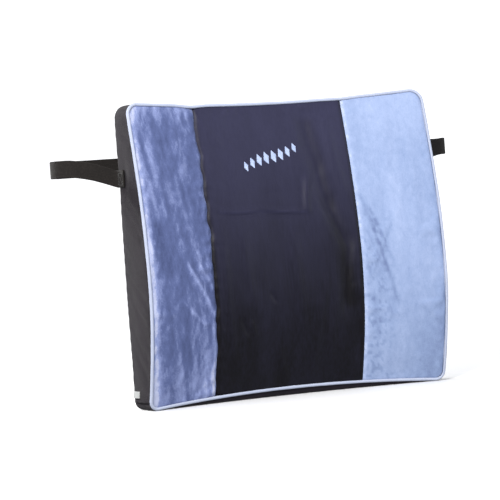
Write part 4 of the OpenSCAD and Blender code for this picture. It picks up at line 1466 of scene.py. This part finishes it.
def make_camera():
    """The main camera, looking at the cushion from in front of its left side."""
    back = np.array([-math.sin(VIEW_YAW) * math.cos(VIEW_RISE), -math.cos(VIEW_YAW) * math.cos(VIEW_RISE),
                     math.sin(VIEW_RISE)])
    right = np.cross([0, 0, 1], back)
    right /= np.linalg.norm(right)
    up = np.cross(back, right)
    right, up = (right * math.cos(VIEW_ROLL) + up * math.sin(VIEW_ROLL),
                 up * math.cos(VIEW_ROLL) - right * math.sin(VIEW_ROLL))
    place_at = LOOKED_AT + back * VIEW_DISTANCE
    aim = LOOKED_AT + right * AIM_RIGHT + up * AIM_UP
    back = place_at - aim
    back /= np.linalg.norm(back)
    right = np.cross(up, back)
    right /= np.linalg.norm(right)
    up = np.cross(back, right)
    camera = bpy.data.objects.new("camera", bpy.data.cameras.new("camera"))
    camera.data.lens = LENS
    camera.data.clip_start, camera.data.clip_end = 0.1, 60
    axes = np.column_stack([right, up, back, place_at * MM])
    camera.matrix_world = Matrix((*axes.tolist(), (0, 0, 0, 1)))
    bpy.context.scene.collection.objects.link(camera)
    bpy.context.scene.camera = camera


def make_stage():
    """A round pale floor that curves up into a wall all round."""
    fillet, wall = 1400, 5200
    profile = chain(line((0, 0), (FLOOR_R - fillet, 0), 6), arc(FLOOR_R - fillet, fillet, fillet, -90, 0, 14),
                    line((FLOOR_R, fillet), (FLOOR_R, wall), 3))
    turns = 72
    a = 2 * np.pi * np.arange(turns + 1) / turns
    r, z = profile[1:, 0], profile[1:, 1]
    flat = [np.outer(np.cos(a), r), np.outer(np.sin(a), r)]
    grid = np.stack([*flat, np.broadcast_to(z, (len(a), len(r)))], -1)
    points = np.concatenate([grid[:-1].reshape(-1, 3), [[0, 0, 0]]])
    faces = quads(turns, len(r), wrap=True)
    centre = turns * len(r)
    faces += [(centre, k * len(r), (k + 1) % turns * len(r)) for k in range(turns)]
    floor = mesh_object("studio_floor", points, faces)
    floor.location.z = -0.2 * MM
    floor.data.materials.append(paper("studio_paper", (0.80, 0.80, 0.81), 0.06, 0.66, 1.2))
    # The paper shows behind the object but throws no light on it, which keeps the shading crisp
    floor.visible_diffuse = floor.visible_glossy = False


def area_light(name, place_at, aim, size, power, colour=(1, 1, 1)):
    """A round lamp in metres and watts, turned to its aim."""
    data = bpy.data.lights.new(name, "AREA")
    data.shape, data.size, data.energy, data.color = "DISK", size, power, colour
    light = bpy.data.objects.new(name, data)
    light.location = place_at
    light.rotation_mode = "QUATERNION"
    light.rotation_quaternion = (Vector(aim) - Vector(place_at)).to_track_quat("-Z", "Y")
    bpy.context.scene.collection.objects.link(light)


def make_lights():
    """A dim sky and four lamps."""
    world = bpy.data.worlds.new("studio")
    world.use_nodes = True
    sky = world.node_tree.nodes["Background"]
    sky.inputs["Color"].default_value = (0.95, 0.97, 1.0, 1)
    sky.inputs["Strength"].default_value = 0.60
    bpy.context.scene.world = world
    aim = (0, 0, 0.17)
    area_light("key", (-1.7, -1.9, 1.5), aim, 0.9, 98, (1.0, 0.98, 0.95))
    area_light("fill", (2.2, -1.5, 0.9), aim, 1.6, 17, (0.93, 0.96, 1.0))
    area_light("top", (0.2, 0.2, 2.6), aim, 1.6, 13)
    area_light("back", (-1.2, 2.1, 1.3), aim, 1.1, 70)
    bpy.context.scene.view_settings.view_transform = "Standard"


make_camera()
front_grid, front_normals = make_front()
make_foam()
make_piping()
make_bands()
make_back()
make_tapes()
make_coils()
for part, rides_on, edge_r in (("zip_end_stops", "cushion", 0.5), ("zip_slider", "zip_slider", 0.22),
                               ("zip_pull", "zip_pull", 0.3)):
    softened(part, "zip_metal", rides_on, edge_r)
make_straps()
make_stitches()
for part, rides_on, edge_r in (("buckle_female", "cushion", 0.45), ("buckle_male", "cushion", 0.35),
                               ("latch_prong_upper", "latch_prong_upper", 0.3),
                               ("latch_prong_lower", "latch_prong_lower", 0.3),
                               ("strap_keeper", "strap_keeper", 0.45)):
    softened(part, "buckle_plastic", rides_on, edge_r)
make_emblem(front_grid, front_normals)
make_tag()
make_stage()
make_lights()
